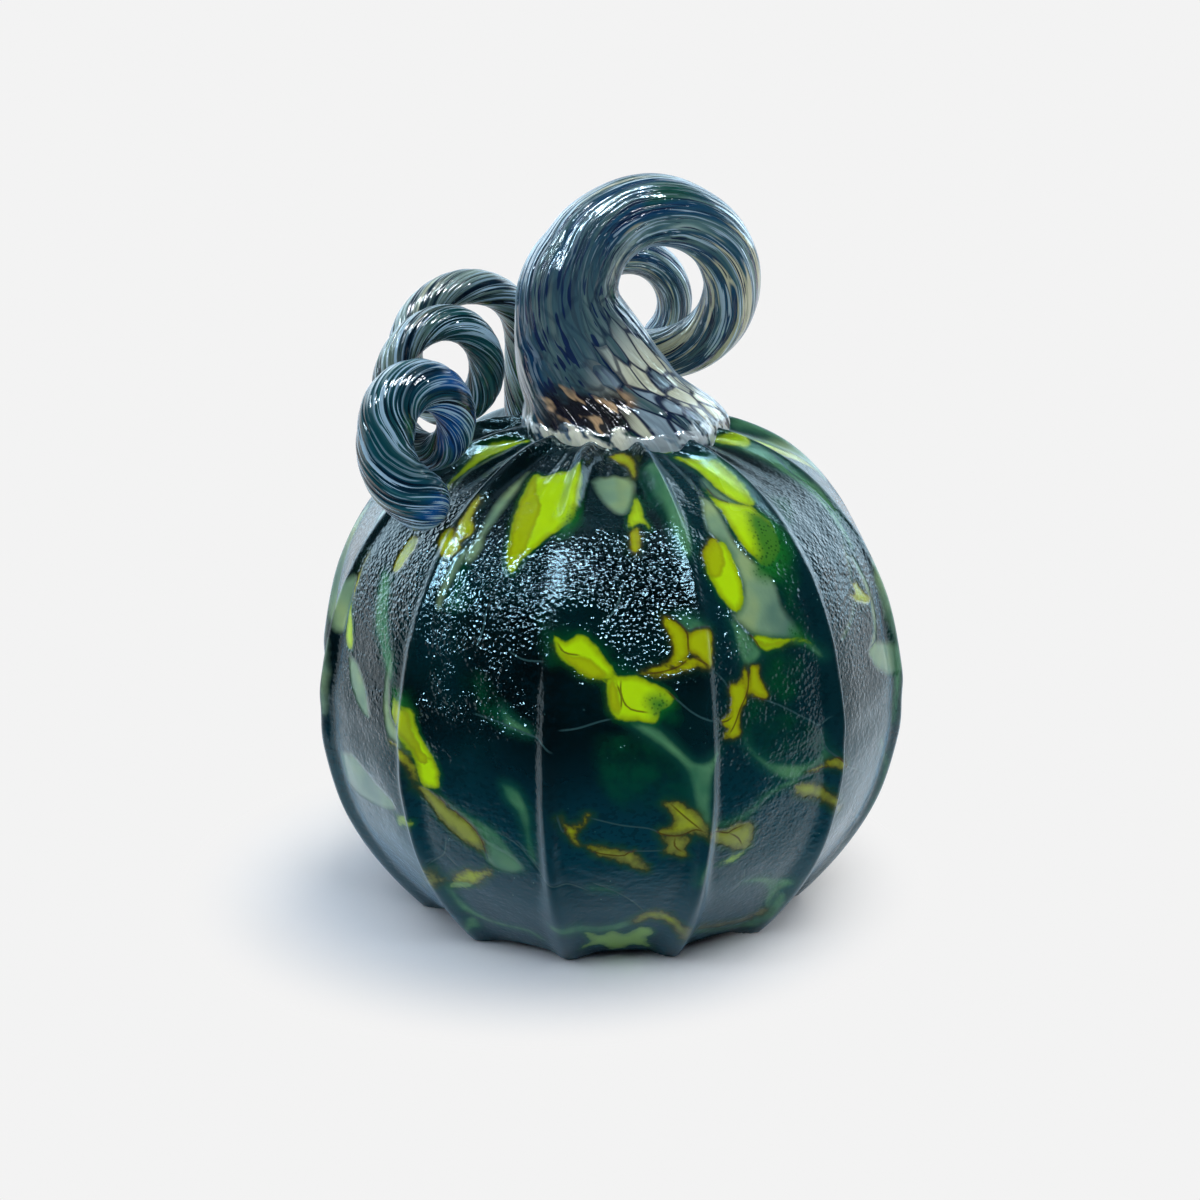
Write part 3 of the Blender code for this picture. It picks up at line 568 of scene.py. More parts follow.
class Flow:
    """A socket of a material. Sums on it add the Math nodes."""

    def __init__(self, tree, socket):
        self.tree = tree
        self.socket = socket

    def node(self, kind, settings, values, output=0):
        """A node of any other kind: its settings first, then its sockets."""
        made = self.tree.nodes.new(kind)
        for name, value in settings.items():
            if name == "stops":
                stops = made.color_ramp.elements
                while len(stops) < len(value):
                    stops.new(0.5)
                for stop, (position, colour) in zip(stops, value):
                    stop.position = position
                    stop.color = (*colour, 1.0)
            else:
                setattr(made, name, value)
        for name, value in values.items():
            if isinstance(value, Flow):
                self.tree.links.new(value.socket, made.inputs[name])
            else:
                made.inputs[name].default_value = value
        return Flow(self.tree, made.outputs[output])

    def math(self, operation, *values):
        return self.node("ShaderNodeMath", {"operation": operation}, dict(enumerate(values)))

    def __add__(self, other):
        return self.math("ADD", self, other)

    __radd__ = __add__

    def __sub__(self, other):
        return self.math("SUBTRACT", self, other)

    def __rsub__(self, other):
        return self.math("SUBTRACT", other, self)

    def __mul__(self, other):
        return self.math("MULTIPLY", self, other)

    __rmul__ = __mul__

    def __abs__(self):
        return self.math("ABSOLUTE", self)

    def rise(self, low, high):
        """0 up to `low`, 1 from `high`, and a smooth step between them."""
        settings = {"interpolation_type": "SMOOTHSTEP"}
        return self.node("ShaderNodeMapRange", settings, {0: self, 1: low, 2: high})

    def between(self, share, colour, other):
        """A colour going over to another as `share` goes from 0 to 1."""
        settings = {"data_type": "RGBA", "clamp_factor": True}
        return self.node("ShaderNodeMix", settings, {0: share, 6: colour, 7: other}, 2)

    def blend(self, other, share):
        return self.between(share, self, other)

    def ramp(self, stops):
        return self.node("ShaderNodeValToRGB", {"stops": stops}, {0: self})

    def kept(self, name, output="Fac"):
        """A number or a vector that `paint` kept on the piece."""
        return self.node("ShaderNodeAttribute", {"attribute_name": name}, {}, output)

    def part(self, axis):
        return self.node("ShaderNodeSeparateXYZ", {}, {0: self}, axis)

    def greater(self, other):
        return self.math("MAXIMUM", self, other)

    def ray(self, kind):
        return self.node("ShaderNodeLightPath", {}, {}, kind)

    def stretch(self, *scale):
        return self.node("ShaderNodeVectorMath", {"operation": "MULTIPLY"}, {0: self, 1: scale})

    def moved(self, other):
        return self.node("ShaderNodeVectorMath", {"operation": "ADD"}, {0: self, 1: other})

    def noise(self, scale, detail=2.0, roughness=0.5, output=0):
        values = {"Vector": self, "Scale": scale, "Detail": detail, "Roughness": roughness}
        return self.node("ShaderNodeTexNoise", {}, values, output)

    def cells(self, scale, feature="F1", output="Distance", randomness=1.0):
        values = {"Vector": self, "Scale": scale, "Randomness": randomness}
        return self.node("ShaderNodeTexVoronoi", {"feature": feature}, values, output)


def covered(piece, name):
    """The piece's only material, new, with its shader and a Flow to start from."""
    material = bpy.data.materials.new(name)
    material.use_nodes = True
    piece.data.materials.clear()
    piece.data.materials.append(material)
    tree = material.node_tree
    return tree.nodes["Principled BSDF"], Flow(tree, None)


def set_plain(shader, values):
    """Sets what is the same all over a surface."""
    for name, value in values.items():
        shader.inputs[name].default_value = value


def finish_glass(flow, shader, colour, roughness, height, relief):
    """Links the colour, roughness and relief of a piece of glass to its shader."""
    tree = flow.tree
    tree.links.new(colour.socket, shader.inputs["Base Color"])
    tree.links.new(roughness.socket, shader.inputs["Roughness"])
    bump = flow.node("ShaderNodeBump", {}, {"Height": height, "Distance": relief, "Strength": 1.0})
    tree.links.new(bump.socket, shader.inputs["Normal"])


for name, chips, trails in (
    ("mist", MIST_CHIPS, MIST_TRAILS),
    ("sage", SAGE_CHIPS, SAGE_TRAILS),
    ("green", GREEN_CHIPS, ()),
    ("mustard", MUSTARD_CHIPS, MUSTARD_TRAILS),
    ("lime", LIME_CHIPS, LIME_TRAILS),
    ("fade", FADED, ()),
):
    paint(body, name, deep_in(round_the_back(chips), round_the_back(trails)))


def seam_layers(seams):
    """Signed distances to the seams, and how much of a seam is there, in layers.

    The distance changes sign across a seam, so the material can draw it finer than the mesh.
    Seams that come close to each other are kept in different layers.
    """
    layers = []
    for seam in seams:
        turns, downs = curve_through(seam, 4).T
        close, step_x, step_y = near(turns, downs, SEAM_ROOM)
        away, share, side = to_line(step_x, step_y)
        nearest = away.argmin(axis=1)
        at = np.arange(len(close))
        away, share, side = away[at, nearest], share[at, nearest], side[at, nearest]
        steps = np.hypot(np.diff(np.radians(turns)) * BODY_RADIUS / MM, np.diff(downs))
        run = (np.cumsum(steps) - steps)[nearest] + share * steps[nearest]
        there = ease(np.minimum(run, steps.sum() - run) / SEAM_TAPER)
        there = there * ease((SEAM_HALF - away) / SEAM_TAPER)
        kept = away < SEAM_ROOM
        for layer in layers:
            if not np.any(kept & (np.abs(layer[0, close]) < SEAM_ROOM)):
                break
        else:
            layer = np.zeros((3, len(azimuth)))
            layer[0] = SEAM_ROOM
            layers.append(layer)
        layer[0, close[kept]] = (away * side)[kept]
        layer[1, close[kept]] = there[kept]
    return layers


# The glass shows more teal on one panel of the front and on one of the back, and its grain is
# smoothed away over the crests of the ribs.
TEAL_FROM, TEAL_UNTIL = 17, 58
CREST_HALF = 2.2 * MM

sideways = np.degrees(azimuth + math.pi / 2) % 180 - 90
sideways = np.where(np.cos(azimuth) > 0, sideways, -sideways)
paint(body, "teal", ease((sideways - TEAL_FROM) / 4) * ease((TEAL_UNTIL - sideways) / 10))
off = (turn + period / 2) % period - period / 2
paint(body, "ridge", np.exp(-(off * radius / CREST_HALF) ** 2))
seams_drawn = seam_layers(round_the_back(SEAMS))
for number, layer in enumerate(seams_drawn):
    paint(body, f"seam_{number}", layer.T)
close_up(body)

# The pattern is read in millimetres. `level` is the height over the floor, and the colours are
# softer low on the body, where the painted sheen at the edges is also stronger.
shader, flow = covered(body, "body_glass")
place = flow.node("ShaderNodeTexCoord", {}, {}, "Object").stretch(1000, 1000, 1000)
level = place.part(2)
soft = 1 - level.rise(30, 62)
frayed = (place.noise(0.55, 3.0) - 0.5) * (1.1 + soft * 1.3)
smoky = (place.noise(0.16, 3.0, 0.6) - 0.5) * 4.0
deep = place.noise(0.045, 2.0).ramp(DEEP_GLASS)
deep = deep.blend(TEAL_PANEL, flow.kept("teal") * (0.6 + place.noise(0.05) * 0.6))
# Painted light: the lower body is coloured a lighter teal, standing in for the floor's light that
# the glass shows there.
low = 1 - level.rise(28, 58)
colour = deep.blend(LOW_TEAL_PAINTED_LIGHT, low * (0.40 + place.noise(0.06) * 0.7))
# Painted shade: dark spots in the colour stand in for the shade in the leathery dimples.
pit_shade = place.stretch(1.0, 1.0, 1.4).moved((8, 0, 0)).noise(0.72, 1.0).rise(0.53, 0.62)
colour = colour.blend(PIT_PAINTED_SHADE, pit_shade * level.rise(18, 34) * 0.4)
bubbles = place.cells(0.42).rise(0.085, 0.045) * place.noise(0.09).rise(0.45, 0.6)
colour = colour.blend(BUBBLE_PALE, bubbles * 0.8)
green = flow.kept("green") + smoky
green_colour = flow.between(low, HIGH_GREEN, LOW_GREEN)
clouds = 0.25 + place.moved((9, 9, 9)).noise(0.12, 3.0, 0.6).rise(0.36, 0.64) * 0.75
colour = colour.blend(green_colour, green.rise(-2.0, 2.2) * clouds)
mist = flow.kept("mist") + smoky * 0.35
colour = colour.blend(place.noise(0.10).ramp(MIST_GLASS), mist.rise(-0.9, 1.1) * 0.94)
sage = flow.kept("sage") + smoky * 0.25
veil = 1 - (1 - clouds) * low * 0.6
colour = colour.blend(SAGE_HALO, sage.rise(-2.6, 0.6) * 0.55)
colour = colour.blend(place.noise(0.13).ramp(SAGE_GLASS), sage.rise(-0.6, 0.9) * veil * 0.92)
mustard = flow.kept("mustard") + frayed
mustard_colour = mustard.rise(-0.6, 1.3).ramp(MUSTARD_GLASS)
dulled = low * place.moved((50, 0, 0)).noise(0.10).rise(0.35, 0.6)
mustard_colour = mustard_colour.blend(MUSTARD_DULLED, dulled * 0.7)
mustard_colour = mustard_colour.blend(MUSTARD_BY_FOOT, (1 - level.rise(7, 16)) * 0.85)
colour = colour.blend(MUSTARD_HALO, mustard.rise(-2.4, 0.2) * (0.25 + soft * 0.5))
colour = colour.blend(MUSTARD_RIM, mustard.rise(-1.1, 0.1) * 0.6)
mustard_edge = mustard.rise(-0.40, 0.30) * (1 - soft * 0.55)
mustard_edge = mustard_edge + mustard.rise(-0.2, 2.0) * soft * 0.55
colour = colour.blend(mustard_colour, mustard_edge)
lime = flow.kept("lime") + frayed * 0.8
thickness = lime.rise(-0.5, 1.7) * (0.78 + place.moved((4, 4, 4)).noise(0.22, 1.0) * 0.4)
lime_colour = thickness.ramp(LIME_GLASS).blend(LOW_LIME, (1 - level.rise(16, 40)) * 0.9)
over_mustard = 1 - mustard.rise(-0.2, 0.6) * 0.85
colour = colour.blend(LIME_HALO, lime.rise(-1.5, -0.1) * over_mustard * 0.4)
lime_edge = lime.rise(-0.35, 0.25) * (1 - soft * 0.5) + lime.rise(-0.8, 1.8) * soft * 0.5
colour = colour.blend(lime_colour, lime_edge * over_mustard)
faded = (flow.kept("fade") + smoky * 0.5).rise(-1.2, 2.6)
grains = place.cells(1.3).rise(0.42, 0.20)
colour = colour.blend(FADED_GREEN, faded * 0.9)
colour = colour.blend(FADED_GRAIN, faded * grains * 0.7)

crack = groove = None
for number in range(len(seams_drawn)):
    seam = flow.kept(f"seam_{number}", "Vector")
    there = seam.part(1)
    across = abs(seam.part(0))
    mark = (1 - across.rise(0.08, 0.28)) * there
    trough = (1 - across.rise(0.1, 1.0)) * there
    crack = mark if crack is None else crack.greater(mark)
    groove = trough if groove is None else groove.greater(trough)
in_chip = mustard.greater(lime).rise(-0.8, 0.0)
colour = colour.blend(flow.between(in_chip, SEAM_IN_DARK, SEAM_IN_CHIP), crack * 0.8)
# Painted sheen: where the skin is seen edge-on, the base colour turns pale blue-grey, standing in
# for the room's reflection, most of all low on the body.
facing = flow.node("ShaderNodeLayerWeight", {}, {"Blend": 0.5}, "Facing")
painted_sheen = facing.rise(0.45, 0.78) * (0.45 + place.noise(0.07, 2.0) * 0.7)
painted_sheen = painted_sheen * (0.20 + soft * 0.36) * (0.15 + level.rise(8, 26) * 0.85)
colour = colour.blend(PAINTED_SHEEN, painted_sheen)

# The leathery grain is deepest on the shoulder, and the chips and the ribs' crests are smooth.
smooth = mustard.greater(lime).greater(mist).rise(-0.7, 0.5)
grain = place.cells(1.15) * 0.75 + place.noise(0.95, 1.0) * 0.9
dimples = place.stretch(1.0, 1.0, 1.5).noise(0.52, 2.0, 0.5)
shoulder = level.rise(40, 60) * (1 - level.rise(90, 97))
ridge = flow.kept("ridge")
rough_skin = (1 - smooth * 0.85) * (1 - ridge * 0.75)
patchy = 0.30 + place.moved((0, 30, 0)).noise(0.09, 2.0).rise(0.36, 0.52) * 0.70
to_right = place.part(0)
outward = to_right.rise(24, 34) + (to_right * -1).rise(37, 43)
shoulder = shoulder * (1 - outward * 0.60)
leather = (1 - level.rise(34, 52)) * 0.045 + outward * 0.05
grain = grain * (0.012 + leather + shoulder * patchy * 0.40)
dimples = dimples * (0.22 - shoulder * 0.10)
height = (grain + dimples) * rough_skin
height = height + lime.rise(-0.9, 0.9) * 0.13 + mustard.rise(-0.9, 0.9) * 0.07 - groove * 0.06
crown = level.rise(99.5, 101.5)
height = height + place.noise(0.10, 1.0) * 0.6 + place.noise(0.32, 2.0) * crown * 1.5
satin = to_right.rise(14, 26) * level.rise(84, 94)
roughness = 0.03 + place.noise(0.3) * 0.04 + rough_skin * (0.04 - shoulder * 0.035)
roughness = roughness + satin * 0.25 + ridge * 0.16
set_plain(shader, {
    "IOR": 1.52, "Specular Tint": (0.55, 0.86, 1.0, 1),
    "Sheen Weight": 0.5, "Sheen Roughness": 0.3, "Sheen Tint": (0.42, 0.74, 1.0, 1),
})
finish_glass(flow, shader, colour, roughness, height, 1.0 * MM)
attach(body, "root")
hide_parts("body")


# The stem: a second, solid gather in blue-grey lustre, dropped hot on the open crown, pulled up
# and wound to the right into a large turn with a small one behind it. The twist that it was
# drawn with shows in its streaks, and its foot spread into flutes where it met the body.
STEM_FOOT_RADIUS = 22.2 * MM
STEM_FOOT_DEPTH = 19.5 * MM
STEM_X = 3.0 * MM
STEM_Y = 0.6 * MM
NECK_RADIUS = 10.6 * MM
NECK_HEIGHT = 25.7 * MM
NECK_LEAN = 11.2 * MM
RING_RADIUS = 16.8 * MM
RING_TUBE = 6.0 * MM
TAIL_RADIUS = 10.3 * MM
TAIL_DROP = 8.3 * MM
TAIL_SHIFT = 4.7 * MM
TAIL_TUBE = 4.1 * MM
TIP_TUBE = 3.6 * MM
CURL_BACK = 32.5 * MM
NECK = (
    (0.0, -0.15, STEM_FOOT_RADIUS, 1.0), (0.02, 0.0, STEM_FOOT_RADIUS * 0.985, 1.0),
    (0.13, 0.15, STEM_FOOT_RADIUS * 0.89, 1.0), (0.43, 0.32, NECK_RADIUS * 1.60, 0.8),
    (0.60, 0.48, NECK_RADIUS * 1.47, 0.5), (0.77, 0.64, NECK_RADIUS * 1.31, 0.2),
    (0.92, 0.80, NECK_RADIUS * 1.16, 0.0),
)
CURL = (
    (180, 0.0, 1.0, NECK_RADIUS), (150, 0.01, 0.94, NECK_RADIUS * 0.83),
    (120, 0.03, 0.97, NECK_RADIUS * 0.745), (90, 0.07, 1.0, RING_TUBE * 1.22),
    (60, 0.13, 1.0, RING_TUBE * 1.12), (0, 0.29, 1.0, RING_TUBE),
    (-60, 0.56, 1.03, RING_TUBE * 0.95), (-90, 0.70, 1.05, RING_TUBE * 0.91),
    (-120, 0.78, 1.04, RING_TUBE * 0.88), (-180, 0.86, 1.0, TAIL_TUBE * 1.12),
    (-240, 0.90, 1.0, TAIL_TUBE * 1.05), (-300, 0.93, 1.0, TAIL_TUBE),
    (-360, 0.97, 1.0, TAIL_TUBE * 0.94), (-405, 1.0, 1.0, TIP_TUBE),
)
STEM_ROWS = 520
STEM_COLUMNS = 120
SEAT_ROWS = 10
STEM_TWIST = 0.020
STEM_GRAIN = 7.0
STEM_DOME_ROWS = 12
BEND_EVENED = 4.5
FUSED_IN = 0.15 * MM
STEM_GLASS = (
    (0.30, (0.004, 0.040, 0.12)), (0.42, (0.014, 0.075, 0.15)), (0.52, (0.030, 0.10, 0.15)),
    (0.60, (0.12, 0.23, 0.23)), (0.70, (0.38, 0.52, 0.50)),
)
STEM_THREAD = (0.52, 0.72, 0.88, 1)
STEM_NAVY = (0.004, 0.014, 0.055, 1)
STEM_CREAM = (0.70, 0.70, 0.48, 1)
STEM_SLATE = (0.060, 0.115, 0.135, 1)
STEM_DASH = (0.003, 0.014, 0.080, 1)
STEM_GREEN = (0.010, 0.10, 0.045, 1)
STEM_PAINTED_RIM_LIGHT = (0.52, 0.74, 0.95, 1)
PLATE_BLUE = (0.40, 0.54, 0.64, 1)
PLATE_CREAM = (0.80, 0.82, 0.60, 1)
PLATE_LINE = (0.004, 0.012, 0.050, 1)
BAND_DARK = (0.012, 0.008, 0.012, 1)
BAND_TAN = (0.62, 0.42, 0.24, 1)
HEM_GLINTS_BEHIND = (0.66, 0.76, 0.80, 1)
HEM_GLINTS_IN_FRONT = (0.97, 0.98, 0.80, 1)
HEM_GAP = (0.010, 0.030, 0.034, 1)


def crown_level(x, y):
    """Height of the body's skin under a point beside the middle of the crown."""
    away = np.hypot(x, y)
    turned = np.arctan2(x, -y) - FIRST_RIB
    upper = crest[:, 1] > BODY_HEIGHT / 2
    crest_z = np.interp(away, crest[upper, 0], crest[upper, 1])
    return crest_z - rib_depth(turned, np.maximum(away, BORE_RADIUS), 0.0, 1.0)


def along_rod(path, level_until):
    """Directions along, beside and over a path. It starts level and ends square to itself."""
    ahead = np.gradient(path[:, :3], axis=0)
    ahead /= np.linalg.norm(ahead, axis=1)[:, None]
    length = along_path(path[:, :3])
    level = 1 - ease((length - level_until * 0.6) / (level_until * 0.4 + 1e-9))[:, None]
    ahead = ahead * (1 - level) + np.array((0.0, 0.0, 1.0)) * level
    ahead /= np.linalg.norm(ahead, axis=1)[:, None]
    side = np.array((1.0, 0.0, 0.0))
    sides = []
    for direction in ahead:
        side = side - direction * side.dot(direction)
        side /= np.linalg.norm(side)
        sides.append(side)
    return np.array(sides), np.cross(ahead, sides), length


def flat_start(rows, count):
    """The rows again, with the first one `count` times more."""
    return np.concatenate([np.repeat(rows[:1], count, axis=0), rows])


def round_over(path, rings):
    """The path carried on by a dome over its last point."""
    ahead = path[-1, :3] - path[-2, :3]
    ahead /= np.linalg.norm(ahead)
    dome = []
    for turned in np.linspace(0, math.pi / 2, rings + 1)[1:-1]:
        at = path[-1, :3] + ahead * path[-1, 3] * math.sin(turned)
        dome.append((*at, path[-1, 3] * math.cos(turned), path[-1, 4]))
    tip = path[-1, :3] + ahead * path[-1, 3]
    return np.vstack([path, dome, [(*tip, 0.0, path[-1, 4])]])


ring_x = STEM_X - NECK_LEAN + RING_RADIUS
ring_z = BODY_HEIGHT + NECK_HEIGHT
rows = []
for lean, rise, thick, oval in NECK:
    depth = 1 - oval * (1 - STEM_FOOT_DEPTH / STEM_FOOT_RADIUS)
    rows.append((STEM_X - lean * NECK_LEAN, STEM_Y, BODY_HEIGHT + rise * NECK_HEIGHT, thick, depth))
angles, backs, draws, radii = np.array(CURL[::-1]).T
for degrees in range(180, -406, -15):
    small = ease((-40 - degrees) / 145)
    wound = RING_RADIUS + (TAIL_RADIUS - RING_RADIUS) * small
    wound *= np.interp(degrees, angles, draws)
    turned = math.radians(degrees)
    rows.append((
        ring_x - TAIL_SHIFT * small + wound * math.cos(turned),
        STEM_Y + CURL_BACK * np.interp(degrees, angles, backs),
        ring_z - TAIL_DROP * small + wound * math.sin(turned),
        np.interp(degrees, angles, radii), 1.0,
    ))
stem_line = curve_through(rows, 8)
neck_length = along_path(stem_line[:, :3])[len(NECK) * 8]
stem_line = spaced(stem_line, STEM_ROWS - SEAT_ROWS - STEM_DOME_ROWS, 3)
stem_line = round_over(stem_line, STEM_DOME_ROWS)
rods = along_rod(stem_line, neck_length)
stem_line, side, over, length = (flat_start(rows, SEAT_ROWS) for rows in (stem_line, *rods))
stem_line[:SEAT_ROWS, 3] *= np.linspace(0, 1, SEAT_ROWS, endpoint=False)

stem, row, angle = rolled_sheet("stem_rod", STEM_COLUMNS, STEM_ROWS)
at = stem_line[row]
run = length[row] / MM
flute = 1 - ease(run / 16)
twist = STEM_TWIST * run
ragged = 0.5 * np.sin(7 * angle + 1.3) + 0.3 * np.sin(12 * angle + 0.4) + 0.2 * np.sin(19 * angle)
wave = 0.012 * np.sin(5 * (angle + twist)) + 0.008 * np.sin(9 * (angle + twist) + run / 9)
thick = at[:, 3] * (0.98 + wave + flute * (0.045 * ragged - 0.03))
across = side[row] * np.cos(angle)[:, None] + (over[row] * at[:, 4:5]) * np.sin(angle)[:, None]
places = at[:, :3] + across * thick[:, None]
skin = crown_level(places[:, 0], places[:, 1]) - FUSED_IN
foot = np.where(row < SEAT_ROWS + 1, skin, np.maximum(places[:, 2], skin))
places[:, 2] = np.where(run < 20, foot, places[:, 2])

# Inside its tightest bend the rod would fold over itself, so its rows are evened out there.
column = np.rint(angle / (2 * math.pi) * STEM_COLUMNS).astype(int) % STEM_COLUMNS
grid = np.empty((STEM_ROWS, STEM_COLUMNS, 3))
grid[row, column] = places
steps = (length[:, None] - length[None, :]) / (BEND_EVENED * MM)
shares = np.exp(-0.5 * steps ** 2)
shares /= shares.sum(axis=1)[:, None]
evened = np.einsum("ij,jkl->ikl", shares, grid)[row, column]
share = ease((run - 16) / 10) * ease((74 - run) / 14) * ease((np.cos(angle) + 0.5) / 0.7)
places += (evened - places) * share[:, None]
place_points(stem, places)
paint(stem, "grain", np.stack([
    STEM_GRAIN * np.cos(angle + twist), STEM_GRAIN * np.sin(angle + twist), run,
], axis=1))
close_up(stem)

# The colours are read along the rod, with the twist. `run_up` is the way up from its foot.
shader, flow = covered(stem, "stem_glass")
rod = flow.kept("grain", "Vector")
run_up = rod.part(2)
drift = rod.stretch(1, 1, 0.3).noise(0.15, 2.0, 0.5, "Color").stretch(3, 3, 10)
drawn = rod.moved(drift)
calm = 1 - run_up.rise(30, 60)
ridges = flow.math("SINE", flow.math("ARCTAN2", drawn.part(1), drawn.part(0)) * 34)
threads = drawn.stretch(1, 1, 0.020).noise(1.85, 2.0, 0.55)
tone = drawn.stretch(1, 1, 0.05).noise(0.42, 2.0)
colour = tone.ramp(STEM_GLASS)
colour = colour.blend(STEM_THREAD, threads.rise(0.56, 0.61) * (0.95 - calm * 0.5))
dark = 1 - threads.rise(0.36, 0.43)
colour = colour.blend(STEM_NAVY, dark * 0.92)
cream = drawn.moved((31, 7, 2)).stretch(1, 1, 0.06).noise(0.45, 2.0)
far = run_up.rise(60, 85) * (1 - run_up.rise(125, 145))
creamy = (cream + far * 0.07).rise(0.60, 0.66) * (1 - dark) * (0.9 - calm * 0.75)
colour = colour.blend(STEM_CREAM, creamy)
colour = colour.blend(STEM_SLATE, calm * tone.rise(0.34, 0.50) * 0.6)
dashes = drawn.moved((12, 4, 9)).stretch(1, 1, 0.10).noise(1.7, 1.0).rise(0.60, 0.65)
colour = colour.blend(STEM_DASH, dashes * calm * 0.9)
fresh = drawn.moved((3, 17, 22)).stretch(1, 1, 0.4).noise(0.11, 1.0)
colour = colour.blend(STEM_GREEN, fresh.rise(0.64, 0.72) * 0.7)
spot = flow.node("ShaderNodeTexCoord", {}, {}, "Object").stretch(1000, 1000, 1000)
across = spot.part(0)
back = spot.part(1)
neck = 1 - run_up.rise(18, 30)
right = across.rise(-6, 6)
borders = drawn.stretch(1, 1, 0.24).cells(0.66, "DISTANCE_TO_EDGE")
cell = drawn.stretch(1, 1, 0.24).cells(0.66, "F1", "Color").part(0)
plated = neck * right * cell.rise(0.25, 0.35)
colour = colour.blend(PLATE_BLUE, plated * 0.85)
colour = colour.blend(PLATE_CREAM, plated * cell.rise(0.46, 0.54) * 0.9)
cell_line = (1 - borders.rise(0.03, 0.12)) * (1 - run_up.rise(30, 60))
colour = colour.blend(PLATE_LINE, cell_line * (0.3 + right * 0.65))
# Painted reflection: where the rod is seen edge-on, its colour turns pale blue along the threads,
# standing in for the bright room mirrored at its rims.
facing = flow.node("ShaderNodeLayerWeight", {}, {"Blend": 0.5}, "Facing")
painted_rim = facing.rise(0.58, 0.90) * (0.25 + threads.rise(0.42, 0.54) * 0.75)
colour = colour.blend(STEM_PAINTED_RIM_LIGHT, painted_rim * 0.85)
band = run_up + (drawn.stretch(1, 1, 0.5).noise(0.55, 3.0) - 0.5) * 8.0
front = (1 - back.rise(-6, 0)) * across.rise(-16, -11) * (1 - across.rise(2, 7))
dark_band = band.rise(4.6, 6.0) * (1 - band.rise(12.0, 16.0)) * front
colour = colour.blend(BAND_DARK, dark_band * 0.92)
tan = drawn.stretch(1, 1, 0.25).noise(0.60, 2.0).rise(0.56, 0.62) * dark_band
colour = colour.blend(BAND_TAN, tan)
bead = rod.stretch(1, 1, 0.30).noise(0.85, 2.0)
# Painted highlights: the hem at the foot is coloured as cream glints with dark gaps between them,
# brightest on the front and pale blue behind.
hem = 1 - band.rise(4.2, 5.8)
hem_glint_colour = flow.between(front, HEM_GLINTS_BEHIND, HEM_GLINTS_IN_FRONT)
colour = colour.blend(hem_glint_colour, hem * bead.rise(0.42, 0.50))
colour = colour.blend(HEM_GAP, hem * (1 - bead.rise(0.38, 0.43)))
roughness = 0.04 + threads * 0.06
height = threads * 0.35 + bead * (0.2 + hem) - dark * 0.12 + ridges * 0.11
height = height + drawn.stretch(1, 1, 0.2).noise(0.5, 1.0)
height = height + rod.stretch(1, 1, 0.35).noise(1.1, 1.0) * 0.6
metal = 0.05 + threads.rise(0.50, 0.62) * 0.25
flow.tree.links.new(metal.socket, shader.inputs["Metallic"])
set_plain(shader, {
    "IOR": 1.6, "Sheen Weight": 0.35, "Sheen Roughness": 0.25,
    "Sheen Tint": (0.55, 0.80, 1.0, 1),
})
finish_glass(flow, shader, colour, roughness, height, 0.40 * MM)
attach(stem, "root")
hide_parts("stem")


# The tendril: a thin trail of cobalt and white glass with many fine threads in it, set down on
# the left shoulder while soft, wound round a rod two and a half times and let down beside the
# stem. Its blunt start sits on the shoulder, and its end is fused to the crown.
TENDRIL_START_TUBE = 5.8 * MM
TENDRIL_TUBE = 3.55 * MM
TENDRIL_X = -0.59032 * BODY_RADIUS
TENDRIL_Y = -0.45161 * BODY_RADIUS
TENDRIL_SEAT = 7.6 * MM
TENDRIL_RISE = 15.4 * MM
TENDRIL_HOLE = 0.8 * MM
TENDRIL_END = math.radians(38)
TENDRIL_END_ROOM = 1.2 * MM
START = ((0.0, 0.55, 1.0), (0.70, 0.74, 0.69), (1.0, 0.655, 0.364))
COIL = (
    (180, 0.02, -0.06, -0.12, 1.00, 0.95), (90, 0.0, 0.0, 0.08, 1.00, 0.76),
    (0, 0.0, 0.09, -0.08, 1.02, 0.18), (-90, 0.12, 0.18, -0.20, 1.08, 0.06),
    (-180, 0.31, 0.25, 0.44, 1.38, 0.0), (-270, 0.41, 0.34, 0.98, 1.44, 0.0),
    (-360, 0.38, 0.43, 1.00, 1.42, 0.0), (-450, 0.54, 0.53, 0.94, 1.52, 0.0),
    (-540, 0.83, 0.65, 1.12, 1.66, 0.0), (-630, 1.0, 0.80, 1.18, 1.68, 0.0),
    (-720, 1.0, 1.0, 1.15, 1.64, 0.0),
)
END = (1.8, 0.17, -1.1)
TENDRIL_ROWS = 700
TENDRIL_COLUMNS = 72
TENDRIL_DOME_ROWS = 12
TENDRIL_TWIST = 0.13
TENDRIL_GRAIN = 4.2
TENDRIL_GLASS = (
    (0.34, (0.002, 0.008, 0.022)), (0.46, (0.003, 0.032, 0.060)), (0.56, (0.010, 0.085, 0.12)),
    (0.68, (0.060, 0.20, 0.22)),
)
COBALT = (0.001, 0.075, 0.30, 1)
TENDRIL_TEAL = (0.003, 0.050, 0.062, 1)
TENDRIL_GREEN = (0.006, 0.060, 0.055, 1)
TENDRIL_GREY = (0.17, 0.25, 0.20, 1)
TENDRIL_CREAM = (0.62, 0.64, 0.46, 1)
TENDRIL_FLECK = (0.010, 0.12, 0.030, 1)
BACK_LOOP_PALE = (0.30, 0.43, 0.42, 1)
TENDRIL_THREAD = (0.44, 0.66, 0.84, 1)
TENDRIL_NAVY = (0.002, 0.008, 0.024, 1)
TENDRIL_PAINTED_RIM_LIGHT = (0.34, 0.54, 0.76, 1)

